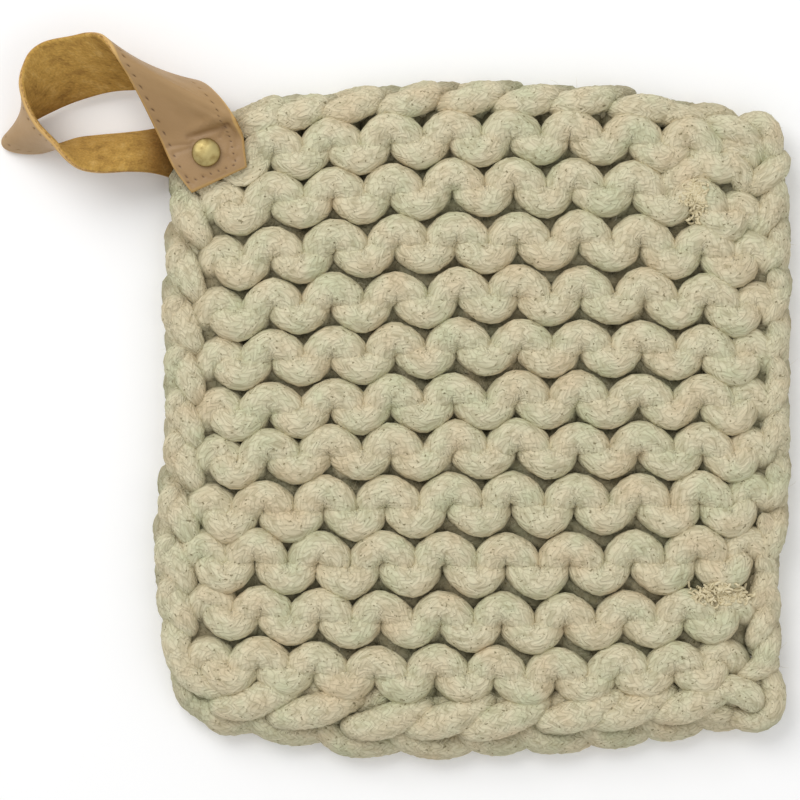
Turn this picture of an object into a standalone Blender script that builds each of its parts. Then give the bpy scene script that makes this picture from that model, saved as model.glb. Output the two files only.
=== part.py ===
"""Knitted cotton pot holder with a riveted leather hanging loop, lying flat. Metres, Z up.

The knit is one slab of garter stitch. Its faces are raised by the path of the yarn itself: heads
and feet of the loops, and the chains along the four edges. The strap is one ribbon drawn through
a short table of cross-lines, and a rivet clamps both of its ends to the top left corner.
The origin is under the middle of the whole object, on the surface that it lies on.
"""

import math
from collections import namedtuple

import bmesh
import bpy
import numpy as np
from mathutils import Matrix, Vector

MM = 0.001
CENTRE_SHIFT = (0.7, 0.55, 0.0)  # millimetres; brings the middle of the whole over the origin

# ---- Yarn and stitches, in millimetres -------------------------------------------------------
YARN_RADIUS = 4.6
LOOP_SWING = 8.35          # half the height of one loop
FOOT_DROP = 8.2            # from a row of heads down to the feet hooked through it
LOOP_DEPTH = 4.0           # heads and feet stand this far before and behind the middle
LOOP_LEAN = 2.2            # how far a loop bulges sideways above its own legs
LOOP_LEAN_UNEVEN = 0.6     # more on the right leg than on the left one
MIDDLE_Z = 8.1
FLOOR_Z = 7.0              # deepest point of the creases between the front ridges
YARN_FIRST_TURN = -1.15    # where the courses begin and end, in stitches from the first head
YARN_LAST_TURN = 8.35
PATH_STEP_DEG = 12.0

# One row for each ridge: its height at the crown of its bow, how far its two ends droop, where
# its first head lies and how far apart its heads are.
Ridge = namedtuple("Ridge", "crown left_droop right_droop first_head pitch")
RIDGES = (
    Ridge(85.2, 5.6, 4.1, -39.7, 18.8),
    Ridge(69.6, 5.4, 6.0, -39.4, 18.95),
    Ridge(52.9, 5.4, 3.8, -39.3, 19.3),
    Ridge(35.6, 4.6, 2.4, -40.1, 19.6),
    Ridge(18.9, 3.7, 1.6, -39.5, 19.4),
    Ridge(2.4, 3.4, 0.8, -40.2, 19.35),
    Ridge(-12.9, 2.6, 1.0, -40.7, 19.5),
    Ridge(-29.4, 2.0, -0.3, -42.8, 19.7),
    Ridge(-48.0, -0.6, -1.6, -44.7, 19.75),
    Ridge(-67.2, -2.6, -2.2, -43.2, 19.05),
    Ridge(-84.0, -2.6, -3.0, -44.2, 18.75),
)
CROWN_X = 46.5
LEFT_SPAN = 88.0           # from the crown of the bow to where the left droop is measured
RIGHT_SPAN = 49.0

# ---- Outline of the knit, in millimetres, each side as points from its start to its end ------
LEFT_SIDE = ((-66, -103), (-71.5, -97), (-75, -84), (-77, -65), (-76.8, -47), (-75.5, -18),
             (-74.5, 20), (-73, 48), (-73, 67), (-71, 78), (-66, 87))
RIGHT_SIDE = ((119.5, -104), (123.5, -93), (120.5, -78), (119, -65), (121, -52), (124.3, -39),
              (123.8, -17), (124.3, 42), (122.5, 61), (123.6, 77), (119.5, 88))
BOTTOM_SIDE = ((-66, -103), (-52, -108), (-31, -112), (-9, -114), (21, -114.3), (51, -113),
               (78, -110.5), (100, -106.5), (119.5, -104))
TOP_SIDE = ((-66, 87), (-52, 89.5), (-31, 93.8), (1, 97.2), (26, 98), (51, 97.2), (76, 95),
            (95, 91), (110, 87.3), (119.5, 88))

# One row for each run of edge chain: links along it, how far in it lies, half a link's length,
# its slope from the run of the edge, the height of its middle, its radius and its scallop.
Chain = namedtuple("Chain", "side links inset reach slope z radius scallop")
CHAINS = (
    Chain("left", 12, 4.9, 9.5, -18.0, 8.8, 5.0, 0.9),
    Chain("left", 12, 11.0, 8.0, -22.0, 10.6, 4.2, 0.0),
    Chain("right", 12, 4.9, 9.5, -16.0, 9.0, 5.0, 0.9),
    Chain("top", 10, 5.0, 10.5, -17.0, 9.4, 5.0, 1.2),
    Chain("bottom", 10, 4.9, 8.5, -12.0, 6.6, 4.9, 1.2),
    Chain("bottom", 10, 11.5, 10.5, 16.0, 11.0, 4.8, 0.0),
)
LINK_POINTS = 15
LINK_DROP = 2.0            # how far the two ends of a link dip below its middle
SIDES = {"left": LEFT_SIDE, "right": RIGHT_SIDE, "bottom": BOTTOM_SIDE, "top": TOP_SIDE}
OUTWARD_TURN = {"left": 1, "top": 1, "right": -1, "bottom": -1}
SIDE_POINTS = 240          # even points along a side
CURVE_POINTS = 900         # points drawn through a side's table before it is made even

# ---- Grid of the knit's two faces, in millimetres --------------------------------------------
ENVELOPE_BATCH = 400       # points of the plan worked on at once
FRONT_LINES_PER_STITCH = 6
BACK_LINES_PER_STITCH = 3
FIRST_LINE_TURNS = -1.0    # first and last lattice line, in stitches from the first head
LAST_LINE_TURNS = 8.0
LAST_LINE_X = 116.5        # the last stitch's lines are drawn out to the right-hand chain
FRONT_SHARES = (-0.29, -0.13, 0.04, 0.21, 0.37, 0.54)  # lines of a ridge, in ridges from its heads
BACK_SHARES = (0.24, 0.50, 0.98)                       # trough, then the two sides of a sole
FRONT_EDGE_LINES = (3, 6)  # lines from the first ridge to the top and the last to the bottom
BACK_EDGE_LINES = (3, 2)
FRONT_SIDE_LINES = (4, 2)  # lines from the lattice to the left side and to the right side
BACK_SIDE_LINES = (2, 1)
SOLE_Z = 0.0
TROUGH_Z = 5.4
TROUGH_WAVE = 1.2
SOLE_WAVE = 0.9
RIM_FRONT_Z = 9.4
RIM_BACK_Z = 1.4
RIM_BACK_INSET = 2.2
RIM_WALL = 2.6             # least height of the rim where the corner is pinched

# ---- Strap, rivet and the pinched corner, in millimetres --------------------------------------
RIVET_X = -59.9
RIVET_Y = 75.6
STRAP_THICKNESS = 1.8
FRONT_STRAP_Z = 13.2       # middle of the leather where it lies over the corner
BACK_STRAP_Z = 2.6         # middle of the leather under the corner
CLEARANCE = 0.3
PINCH_TOP_Z = FRONT_STRAP_Z - STRAP_THICKNESS / 2 - 2 * CLEARANCE
PINCH_BACK_Z = BACK_STRAP_Z + STRAP_THICKNESS / 2 + CLEARANCE

# A pressed patch of the knit is a rectangle about the rivet, turned to a heading, that reaches
# behind and ahead along it and to both sides across it, and fades out over a distance.
Patch = namedtuple("Patch", "heading_deg behind ahead half_width fade")
FRONT_PATCH = Patch(118.0, 12.0, 40.0, 13.2, 4.0)
BACK_PATCH = Patch(0.0, 40.0, 14.5, 14.5, 12.0)
RAMP_SLOPE = 0.43          # the strap climbs to the left under the corner, most on its near side
RAMP_START_X = 1.0
RAMP_NEAR_Y = 20.0
RAMP_SPAN_Y = 27.0

# One row for each cross-line of the ribbon, from its front end to its back end: its left edge,
# its right edge as seen going along the front, both from the rivet's axis, and its cupping.
Line = namedtuple("Line", "left_x left_y left_z right_x right_y right_z cup")
STRAP_LINES = (
    Line(-4.6, -12.6, 13.2, 12.7, -4.5, 13.2, 0.0),      # cut end on the front
    Line(-10.5, -4.5, 13.2, 12.1, 0.8, 13.2, 0.0),
    Line(-14.8, 4.8, 13.3, 11.7, 4.6, 13.2, 0.0),
    Line(-19.4, 14.6, 17.6, 10.9, 6.9, 14.6, 0.4),
    Line(-24.0, 23.6, 23.0, 10.0, 8.8, 16.6, 0.4),
    Line(-27.8, 29.5, 26.4, 8.8, 11.2, 18.2, 0.2),       # start of the roll
    Line(-30.2, 33.4, 25.4, 4.6, 16.8, 16.8, 0.0),
    Line(-33.1, 36.0, 22.6, -1.2, 21.6, 12.0, 0.0),      # outermost line of the roll
    Line(-37.0, 36.8, 19.8, -8.8, 22.8, 7.4, 0.0),
    Line(-41.4, 36.1, 18.6, -17.4, 21.1, 5.2, 0.0),      # end of the roll
    Line(-49.6, 34.2, 20.0, -28.5, 20.5, 4.6, 0.3),
    Line(-54.3, 31.0, 20.8, -36.8, 18.8, 4.0, 0.5),
    Line(-56.6, 26.2, 21.4, -45.1, 16.2, 3.0, 0.6),
    Line(-57.1, 21.3, 22.0, -53.5, 12.5, 2.0, 0.6),
    Line(-55.9, 16.3, 22.4, -60.5, 8.8, 1.4, 0.4),
    Line(-54.0, 12.0, 22.6, -64.6, 5.6, 1.2, 0.2),       # the loop's far turn
    Line(-51.7, 8.2, 22.8, -64.8, 3.0, 1.2, 0.2),
    Line(-49.2, 5.3, 23.0, -60.9, 1.5, 1.2, 0.4),
    Line(-46.4, 2.3, 23.2, -54.2, 1.3, 1.2, 0.6),
    Line(-43.0, -2.0, 23.2, -47.2, 3.2, 1.2, 0.8),
    Line(-38.7, -5.4, 22.6, -41.2, 5.1, 1.3, 1.0),
    Line(-32.7, -6.6, 21.4, -34.8, 5.9, 1.4, 1.4),
    Line(-24.1, -6.2, 18.4, -25.3, 6.7, 1.6, 2.2),
    Line(-18.0, -6.2, 13.4, -18.0, 7.8, 1.8, 2.0),
    Line(-13.1, -7.0, 7.6, -11.4, 9.8, 2.1, 0.9),
    Line(-8.0, -9.0, 3.8, -5.0, 11.6, 2.4, 0.2),
    Line(-2.4, -10.4, 2.6, 1.0, 11.9, 2.6, 0.0),         # flat under the corner
    Line(10.0, -10.6, 2.6, 11.5, 11.9, 2.6, 0.0),        # cut end under the corner
)
STRAP_STEPS = 3            # sections drawn between two cross-lines
STRAP_ACROSS = 6           # strips across the ribbon

POST_RADIUS = 2.0
POST_HOLE_RADIUS = POST_RADIUS + CLEARANCE
KNIT_CUT = 30.0            # lengths of the hole cutters
STRAP_CUT = 4.0
CAP_RADIUS = 4.5
CAP_EDGE = 0.7             # straight rim under the dome
CAP_DOME = 1.7
CAP_SOCKET_DEPTH = 1.2
BACK_CAP_THICKNESS = 1.1
BACK_CAP_CHAMFER = 0.3
ROUND_SEGMENTS = 32
DOME_STEP_DEG = 15
SHARP_ANGLE_DEG = 35.0
MERGE_DISTANCE = 0.0001

# ---- Colours, linear -------------------------------------------------------------------------
COTTON_COLOUR = (0.60, 0.55, 0.40)
LEATHER_COLOUR = (0.38, 0.19, 0.08)
BRASS_COLOUR = (0.60, 0.50, 0.25)


def clear_scene():
    for item in list(bpy.data.objects):
        bpy.data.objects.remove(item, do_unlink=True)


def make_material(name, colour, roughness, metallic=0.0):
    """Return a Principled material of one linear colour."""
    material = bpy.data.materials.new(name)
    material.use_nodes = True
    shader = material.node_tree.nodes["Principled BSDF"]
    shader.inputs["Base Color"].default_value = (*colour, 1.0)
    shader.inputs["Roughness"].default_value = roughness
    shader.inputs["Metallic"].default_value = metallic
    return material


def add_object(name, mesh, material=None):
    """Link a mesh to the scene as one named object."""
    item = bpy.data.objects.new(name, mesh)
    bpy.context.scene.collection.objects.link(item)
    if material:
        mesh.materials.append(material)
    return item


def bmesh_to_mesh(name, bm):
    """Write a bmesh, centred and scaled from millimetres, to a new smooth-shaded mesh."""
    bmesh.ops.recalc_face_normals(bm, faces=bm.faces)
    bmesh.ops.translate(bm, vec=CENTRE_SHIFT, verts=bm.verts)
    bmesh.ops.scale(bm, vec=(MM, MM, MM), verts=bm.verts)
    mesh = bpy.data.meshes.new(name)
    bm.to_mesh(mesh)
    bm.free()
    mesh.shade_smooth()
    return mesh


def smooth_between(points, position):
    """Return the Catmull-Rom point at a position counted in rows of an array."""
    last = len(points) - 1
    start = min(int(position), last - 1)
    t = position - start
    before, here, there, after = (points[min(max(start + k, 0), last)] for k in (-1, 0, 1, 2))
    return 0.5 * (2 * here + (there - before) * t
                  + (2 * before - 5 * here + 4 * there - after) * t ** 2
                  + (3 * here - before - 3 * there + after) * t ** 3)


def smooth_step(value):
    """Return 0 below 0, 1 above 1, and an even S-curve between."""
    clamped = np.clip(value, 0.0, 1.0)
    return clamped * clamped * (3 - 2 * clamped)


# ---- Knit ------------------------------------------------------------------------------------
def side_samples(side):
    """Return evenly spaced points along one side of the outline."""
    corners = np.array(SIDES[side], dtype=float)
    positions = np.linspace(0, len(corners) - 1, CURVE_POINTS)
    dense = np.array([smooth_between(corners, position) for position in positions])
    lengths = np.append(0, np.cumsum(np.linalg.norm(np.diff(dense, axis=0), axis=1)))
    wanted = np.linspace(0, lengths[-1], SIDE_POINTS)
    return np.stack([np.interp(wanted, lengths, dense[:, axis]) for axis in (0, 1)], axis=1)


def outward_normals(side, line):
    """Return the unit normals of a side that point away from the knit."""
    run = np.gradient(line, axis=0)
    run /= np.linalg.norm(run, axis=1)[:, None]
    return np.stack([-run[:, 1], run[:, 0]], axis=1) * OUTWARD_TURN[side]


def scalloped_side(side):
    """Return the side's points, let in between the links of its outer chain."""
    line = side_samples(side)
    chain = next(c for c in CHAINS if c.side == side)
    phase = np.linspace(0, chain.links, len(line))
    notch = (1 - np.abs(np.sin(math.pi * phase))) * chain.scallop
    ends = smooth_step(np.minimum(phase, chain.links - phase) / 0.5)
    return line - outward_normals(side, line) * (notch * ends)[:, None]


def head_height(ridge, x):
    """Return the height in the plan of a ridge's heads at x."""
    left = ridge.left_droop * (np.maximum(CROWN_X - x, 0) / LEFT_SPAN) ** 2
    right = ridge.right_droop * (np.maximum(x - CROWN_X, 0) / RIGHT_SPAN) ** 2
    return ridge.crown - left - right


def yarn_course(ridge, feet_forward):
    """Return points x, y, z, radius along one course, heads or feet at the front."""
    steps = int(360 / PATH_STEP_DEG)
    turns = np.arange(YARN_FIRST_TURN * steps, YARN_LAST_TURN * steps) / steps
    angle = turns * 2 * math.pi
    lean = LOOP_LEAN + LOOP_LEAN_UNEVEN * np.sin(angle)
    x = ridge.first_head + ridge.pitch * turns + lean * np.sin(2 * angle)
    heads = head_height(ridge, x)
    if feet_forward:
        y = heads - FOOT_DROP + LOOP_SWING * (1 + np.cos(angle))
        z = MIDDLE_Z - LOOP_DEPTH * np.cos(angle)
    else:
        y = heads - LOOP_SWING * (1 - np.cos(angle))
        z = MIDDLE_Z + LOOP_DEPTH * np.cos(angle)
    return np.stack([x, y, z, np.full_like(x, YARN_RADIUS)], axis=1)


def chain_links(chain):
    """Return points x, y, z, radius along every link of one edge chain."""
    line = side_samples(chain.side)
    inward = -outward_normals(chain.side, line)
    run = np.gradient(line, axis=0)
    run /= np.linalg.norm(run, axis=1)[:, None]
    points = []
    for link in range(chain.links):
        row = int((link + 0.5) / chain.links * (len(line) - 1))
        middle = line[row] + inward[row] * chain.inset
        tilt = math.radians(chain.slope)
        heading = run[row] * math.cos(tilt) + inward[row] * math.sin(tilt)
        for t in np.linspace(-1, 1, LINK_POINTS):
            place = middle + heading * t * chain.reach
            height = chain.z - LINK_DROP * t * t
            points.append((place[0], place[1], height, chain.radius))
    return np.array(points)


def yarn_points():
    """Return every point of the yarn, x, y, z and radius."""
    courses = [yarn_course(ridge, feet) for ridge in RIDGES for feet in (False, True)]
    return np.concatenate(courses + [chain_links(chain) for chain in CHAINS])


def upper_envelope(plan, yarn):
    """Return the height of the yarn's upper side over points of the plan."""
    heights = np.empty(len(plan))
    for start in range(0, len(plan), ENVELOPE_BATCH):
        part = plan[start:start + ENVELOPE_BATCH]
        offset = part[:, None, :] - yarn[None, :, :2]
        bulge = yarn[:, 3] - (offset ** 2).sum(axis=2) / yarn[:, 3]
        heights[start:start + ENVELOPE_BATCH] = (yarn[:, 2] + bulge).max(axis=1)
    return heights


def patch_share(plan, patch):
    """Return 1 inside a pressed patch, fading to 0 around it."""
    heading = math.radians(patch.heading_deg)
    offset = plan - np.array((RIVET_X, RIVET_Y))
    along = offset[..., 0] * math.cos(heading) + offset[..., 1] * math.sin(heading)
    across = -offset[..., 0] * math.sin(heading) + offset[..., 1] * math.cos(heading)
    past_ends = np.maximum(np.maximum(-patch.behind - along, along - patch.ahead), 0)
    past_sides = np.maximum(np.abs(across) - patch.half_width, 0)
    return 1 - smooth_step(np.hypot(past_ends, past_sides) / patch.fade)


def strap_ramp(plan):
    """Return how high the strap's end under the corner lifts the knit's back."""
    climb = np.maximum(RIVET_X + RAMP_START_X - plan[..., 0], 0)
    near = np.clip((RIVET_Y + RAMP_NEAR_Y - plan[..., 1]) / RAMP_SPAN_Y, 0, 1)
    return PINCH_BACK_Z + RAMP_SLOPE * climb * near


def press_front(plan, heights):
    """Press the front face's heights down under the strap."""
    share = patch_share(plan, FRONT_PATCH)
    return heights + share * (np.minimum(heights, PINCH_TOP_Z) - heights)


def lift_back(plan, heights):
    """Lift the back face's heights over the strap's end."""
    share = patch_share(plan, BACK_PATCH)
    return heights + share * (np.maximum(heights, strap_ramp(plan)) - heights)


def ridge_lines(lattice, shares):
    """Return the plan points of every ridge's grid rows, from the top down."""
    ridges = []
    for ridge in RIDGES:
        x = ridge.first_head + ridge.pitch * lattice
        x = x + (LAST_LINE_X - x[-1]) * smooth_step(lattice - LAST_LINE_TURNS + 1)
        ridges.append(np.stack([x, head_height(ridge, x)], axis=1))
    steps = np.diff(ridges, axis=0)
    rows = []
    for index, here in enumerate(ridges):
        above = steps[max(index - 1, 0)]
        below = steps[min(index, len(steps) - 1)]
        rows += [here + share * (above if share < 0 else below) for share in shares]
    return rows


def contour_across(side, x, inset):
    """Return the plan height of the top or bottom contour over an array of x."""
    line = scalloped_side(side) - outward_normals(side, side_samples(side)) * inset
    return np.interp(x, line[:, 0], line[:, 1])


def contour_up(side, y, inset):
    """Return the x of the left or right contour over an array of plan heights."""
    line = scalloped_side(side) - outward_normals(side, side_samples(side)) * inset
    return np.interp(y, line[:, 1], line[:, 0])


def plan_grid(lines_per_stitch, shares, edge_lines, side_lines, inset):
    """Return a grid of plan points whose lines follow the stitches, and its lines' turns."""
    count = round((LAST_LINE_TURNS - FIRST_LINE_TURNS) * lines_per_stitch)
    lattice = np.linspace(FIRST_LINE_TURNS, LAST_LINE_TURNS, count + 1)
    rows = ridge_lines(lattice, shares)
    first, last = rows[0], rows[-1]
    top, bottom = [np.stack([row[:, 0], contour_across(side, row[:, 0], inset)], axis=1)
                   for row, side in ((first, "top"), (last, "bottom"))]
    above = [top + (first - top) * k / edge_lines[0] for k in range(edge_lines[0])]
    below = [last + (bottom - last) * (k + 1) / edge_lines[1] for k in range(edge_lines[1])]
    x, y = np.moveaxis(np.array(above + rows + below), 2, 0)
    left = contour_up("left", y[:, 0], inset)[:, None]
    right = contour_up("right", y[:, -1], inset)[:, None]
    left_shares = np.arange(side_lines[0]) / side_lines[0]
    right_shares = np.arange(1, side_lines[1] + 1) / side_lines[1]
    x = np.concatenate([left + (x[:, :1] - left) * left_shares, x,
                        x[:, -1:] + (right - x[:, -1:]) * right_shares], axis=1)
    widths = (side_lines[0], side_lines[1])
    y = np.pad(y, ((0, 0), widths), mode="edge")
    return np.stack([x, y], axis=2), np.pad(lattice, widths, mode="edge")


def add_face(bm, plan, heights, rim_heights):
    """Add one face of the knit as a grid and return the edges round its rim."""
    heights = heights.copy()
    for edge in (np.s_[0, :], np.s_[-1, :], np.s_[:, 0], np.s_[:, -1]):
        heights[edge] = rim_heights[edge]
    rows, columns = heights.shape
    verts = [[bm.verts.new((*plan[j, i], heights[j, i])) for i in range(columns)]
             for j in range(rows)]
    faces = [bm.faces.new((verts[j][i], verts[j][i + 1], verts[j + 1][i + 1], verts[j + 1][i]))
             for j in range(rows - 1) for i in range(columns - 1)]
    return list(dict.fromkeys(e for face in faces for e in face.edges if e.is_boundary))


def add_front(bm):
    """Add the front face: the yarn's own upper side, pressed down under the strap."""
    plan, _ = plan_grid(FRONT_LINES_PER_STITCH, FRONT_SHARES, FRONT_EDGE_LINES,
                        FRONT_SIDE_LINES, 0.0)
    flat = plan.reshape(-1, 2)
    heights = np.maximum(upper_envelope(flat, yarn_points()), FLOOR_Z)
    heights = press_front(plan, heights.reshape(plan.shape[:2]))
    rim = np.maximum(RIM_FRONT_Z, lift_back(plan, np.zeros_like(heights)) + RIM_WALL)
    return add_face(bm, plan, heights, press_front(plan, rim))


def add_back(bm):
    """Add the back face: flat soles that rest, with troughs between, lifted over the strap."""
    plan, turns = plan_grid(BACK_LINES_PER_STITCH, BACK_SHARES, BACK_EDGE_LINES,
                            BACK_SIDE_LINES, RIM_BACK_INSET)
    heights = np.full(plan.shape[:2], SOLE_Z)
    ridge_rows = range(BACK_EDGE_LINES[0], len(plan) - BACK_EDGE_LINES[1])
    wave = np.cos(2 * math.pi * turns)
    for row in ridge_rows:
        kind = (row - BACK_EDGE_LINES[0]) % len(BACK_SHARES)
        if kind == 0:
            heights[row] = TROUGH_Z + TROUGH_WAVE * wave
        else:
            plan[row, :, 1] += SOLE_WAVE * wave
    heights = lift_back(plan, heights)
    return add_face(bm, plan, heights, lift_back(plan, np.full_like(heights, RIM_BACK_Z)))


def build_knit(material):
    """Build the knit: a fine front face, a coarse back face and the rim that joins them."""
    bm = bmesh.new()
    bmesh.ops.bridge_loops(bm, edges=add_front(bm) + add_back(bm))
    knit = add_object("knit", bmesh_to_mesh("knit", bm), material)
    cut_post_hole(knit, "knit_hole", MIDDLE_Z, KNIT_CUT)
    return knit


# ---- Strap -----------------------------------------------------------------------------------
def strap_sections():
    """Return the ribbon's middle surface as sections of points, in millimetres."""
    lines = np.array(STRAP_LINES, dtype=float)
    count = (len(lines) - 1) * STRAP_STEPS
    sections = []
    for step in range(count + 1):
        row = smooth_between(lines, step / STRAP_STEPS)
        left, right = Vector(row[:3]), Vector(row[3:6])
        ahead = smooth_between(lines, min(step / STRAP_STEPS + 0.1, len(lines) - 1))
        behind = smooth_between(lines, max(step / STRAP_STEPS - 0.1, 0))
        run = Vector((ahead[:3] + ahead[3:6] - behind[:3] - behind[3:6]))
        facing = (right - left).cross(run).normalized()
        section = []
        for strip in range(STRAP_ACROSS + 1):
            share = strip / STRAP_ACROSS
            bulge = row[6] * 4 * share * (1 - share)
            section.append(left.lerp(right, share) - facing * bulge)
        sections.append(section)
    return sections


def build_strap(material):
    """Build the leather ribbon, thicken it and cut the two holes for the rivet's post."""
    bm = bmesh.new()
    origin = Vector((RIVET_X, RIVET_Y, 0))
    rows = [[bm.verts.new(point + origin) for point in section] for section in strap_sections()]
    for here, there in zip(rows, rows[1:]):
        for i in range(STRAP_ACROSS):
            bm.faces.new((here[i], here[i + 1], there[i + 1], there[i]))
    strap = add_object("strap", bmesh_to_mesh("strap", bm), material)
    solidify = strap.modifiers.new("thickness", "SOLIDIFY")
    solidify.thickness = STRAP_THICKNESS * MM
    solidify.offset = 0.0
    solidify.use_even_offset = True
    cut_post_hole(strap, "front_hole", FRONT_STRAP_Z, STRAP_CUT)
    cut_post_hole(strap, "back_hole", BACK_STRAP_Z, STRAP_CUT)
    return strap


def cut_post_hole(target, name, z, depth):
    """Cut a round hole on the rivet's axis through an object."""
    bm = bmesh.new()
    bmesh.ops.create_cone(bm, cap_ends=True, segments=ROUND_SEGMENTS, radius1=POST_HOLE_RADIUS,
                          radius2=POST_HOLE_RADIUS, depth=depth,
                          matrix=Matrix.Translation((RIVET_X, RIVET_Y, z)))
    cutter = add_object(name, bmesh_to_mesh(name, bm))
    cutter.hide_render = True
    cutter.display_type = "WIRE"
    boolean = target.modifiers.new(name, "BOOLEAN")
    boolean.operation = "DIFFERENCE"
    boolean.object = cutter


# ---- Rivet -----------------------------------------------------------------------------------
def turned_object(name, profile, material):
    """Spin a profile of (radius, height) points, bottom to top, about the rivet's axis."""
    bm = bmesh.new()
    verts = [bm.verts.new((RIVET_X + radius, RIVET_Y, z)) for radius, z in profile]
    edges = [bm.edges.new(pair) for pair in zip(verts, verts[1:])]
    bmesh.ops.spin(bm, geom=verts + edges, cent=(RIVET_X, RIVET_Y, 0), axis=(0, 0, 1),
                   angle=2 * math.pi, steps=ROUND_SEGMENTS, use_merge=True)
    bmesh.ops.remove_doubles(bm, verts=bm.verts, dist=MERGE_DISTANCE)
    item = add_object(name, bmesh_to_mesh(name, bm), material)
    item.data.set_sharp_from_angle(angle=math.radians(SHARP_ANGLE_DEG))
    return item


def build_rivet(material):
    """Build the domed cap on the front and the post that comes up into it from the back."""
    cap_base = FRONT_STRAP_Z + STRAP_THICKNESS / 2 + CLEARANCE
    socket = POST_RADIUS + CLEARANCE
    cap = [(0, cap_base + CAP_SOCKET_DEPTH), (socket, cap_base + CAP_SOCKET_DEPTH),
           (socket, cap_base), (CAP_RADIUS, cap_base)]
    for angle_deg in range(0, 90, DOME_STEP_DEG):
        angle = math.radians(angle_deg)
        cap.append((CAP_RADIUS * math.cos(angle),
                    cap_base + CAP_EDGE + CAP_DOME * math.sin(angle)))
    cap.append((0, cap_base + CAP_EDGE + CAP_DOME))
    turned_object("rivet_cap", cap, material)
    post_top = cap_base + CAP_SOCKET_DEPTH - CLEARANCE
    post = [(0, 0), (CAP_RADIUS - BACK_CAP_CHAMFER, 0), (CAP_RADIUS, BACK_CAP_CHAMFER),
            (CAP_RADIUS, BACK_CAP_THICKNESS), (POST_RADIUS, BACK_CAP_THICKNESS),
            (POST_RADIUS, post_top), (0, post_top)]
    turned_object("rivet_post", post, material)


def main():
    clear_scene()
    cotton = make_material("cotton_cord", COTTON_COLOUR, roughness=0.95)
    leather = make_material("tan_leather", LEATHER_COLOUR, roughness=0.55)
    brass = make_material("aged_brass", BRASS_COLOUR, roughness=0.35, metallic=1.0)
    build_knit(cotton)
    build_strap(leather)
    build_rivet(brass)


main()
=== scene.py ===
"""Looks of a knitted cotton pot holder with a riveted leather hanging loop.

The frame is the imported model: X runs along the rows of stitches, Y up the photograph, Z out of
the front face. Sizes are millimetres until a mesh is written. The knit is drawn as the cord that
it is made of, course by course, with chains of links along its four edges.
"""

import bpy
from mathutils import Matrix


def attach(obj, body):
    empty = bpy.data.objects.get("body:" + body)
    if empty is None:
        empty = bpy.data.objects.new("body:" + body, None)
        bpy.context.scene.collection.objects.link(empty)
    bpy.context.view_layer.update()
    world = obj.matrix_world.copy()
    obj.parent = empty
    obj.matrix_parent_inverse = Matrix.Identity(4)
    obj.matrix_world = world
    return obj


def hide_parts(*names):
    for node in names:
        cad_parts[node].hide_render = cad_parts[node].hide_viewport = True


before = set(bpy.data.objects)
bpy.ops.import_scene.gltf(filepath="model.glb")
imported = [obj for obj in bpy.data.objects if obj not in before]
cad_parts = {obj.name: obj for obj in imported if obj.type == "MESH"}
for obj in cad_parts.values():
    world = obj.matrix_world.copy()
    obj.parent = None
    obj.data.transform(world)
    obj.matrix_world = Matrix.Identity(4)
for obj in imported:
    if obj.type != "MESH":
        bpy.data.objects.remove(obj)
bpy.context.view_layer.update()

import logging
import math
from abc import ABC, abstractmethod
from collections.abc import Iterable, Sequence
from dataclasses import dataclass, field
from enum import Enum

import bpy
import numpy as np
from mathutils import Vector

LOG = logging.getLogger("pot_holder")
MM = 0.001
TURN = 2 * math.pi
SEED = 2796
CENTRE_SHIFT = np.array((0.7, 0.55, 0.0))  # the plan's middle, moved over the origin as in the solids
RIVET_AXIS = np.array((-59.9, 75.6))       # in the plan
MIDDLE_Z = 8.1                             # the height of the knit's middle
FLOOR_Z = 0.02                             # nothing of the knit lies lower
UPRIGHT = (0.0, 0.0, 1.0)
SLANT = (0.31, 0.11, 0.94)                 # a direction that no thread runs in
PATH_ROWS = 12                             # of a link's smooth path, for each of its points
Socket = bpy.types.NodeSocket
Source = bpy.types.Node | bpy.types.NodeSocket
Inputs = dict[str | int, object] | Sequence[object]
Colour = tuple[float, float, float, float]


# ---- Shared helpers --------------------------------------------------------------------------
def linear(hex_colour: str) -> Colour:
    """Turn an sRGB hex colour into a linear one.

    Args:
        hex_colour: six hex digits, without a hash.

    Returns:
        Linear red, green and blue, and an alpha of 1.
    """
    channels = [int(hex_colour[i:i + 2], 16) / 255 for i in (0, 2, 4)]
    return (*[c / 12.92 if c <= 0.04045 else ((c + 0.055) / 1.055) ** 2.4 for c in channels], 1.0)


def set_inputs(tree: bpy.types.NodeTree, node: bpy.types.Node, inputs: Inputs) -> None:
    """Link or set a node's inputs.

    Args:
        tree: the node tree that it is in.
        node: the node.
        inputs: what they get, in order, or by name or number: a socket to link, a node whose
            result is linked, or a value.
    """
    named = inputs if isinstance(inputs, dict) else dict(enumerate(inputs))
    for name, value in named.items():
        if isinstance(value, bpy.types.Node):
            value = next(socket for socket in value.outputs if socket.enabled)
        if isinstance(value, Socket):
            tree.links.new(value, node.inputs[name])
        else:
            node.inputs[name].default_value = value


def add_node(tree: bpy.types.NodeTree, kind: str, inputs: Inputs = (),
             **settings: object) -> bpy.types.Node:
    """Add one shader node.

    Args:
        tree: the node tree that it goes into.
        kind: the node's type name without its ShaderNode prefix.
        inputs: what its inputs get, as set_inputs reads them.
        settings: its properties, by name.

    Returns:
        The new node.
    """
    node = tree.nodes.new("ShaderNode" + kind)
    for name, value in settings.items():
        setattr(node, name, value)
    set_inputs(tree, node, inputs)
    return node


def smooth_step(value: np.ndarray) -> np.ndarray:
    """Return 0 below 0, 1 above 1 and an even S-curve between."""
    clamped = np.clip(value, 0.0, 1.0)
    return clamped * clamped * (3 - 2 * clamped)


def rounded_end(share: np.ndarray, least: float) -> np.ndarray:
    """Return a quarter circle's height, 1 at a share of 1 and beyond, its square at least this."""
    return np.sqrt(np.clip(1 - (1 - np.clip(share, 0, 1)) ** 2, least, 1))


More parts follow.
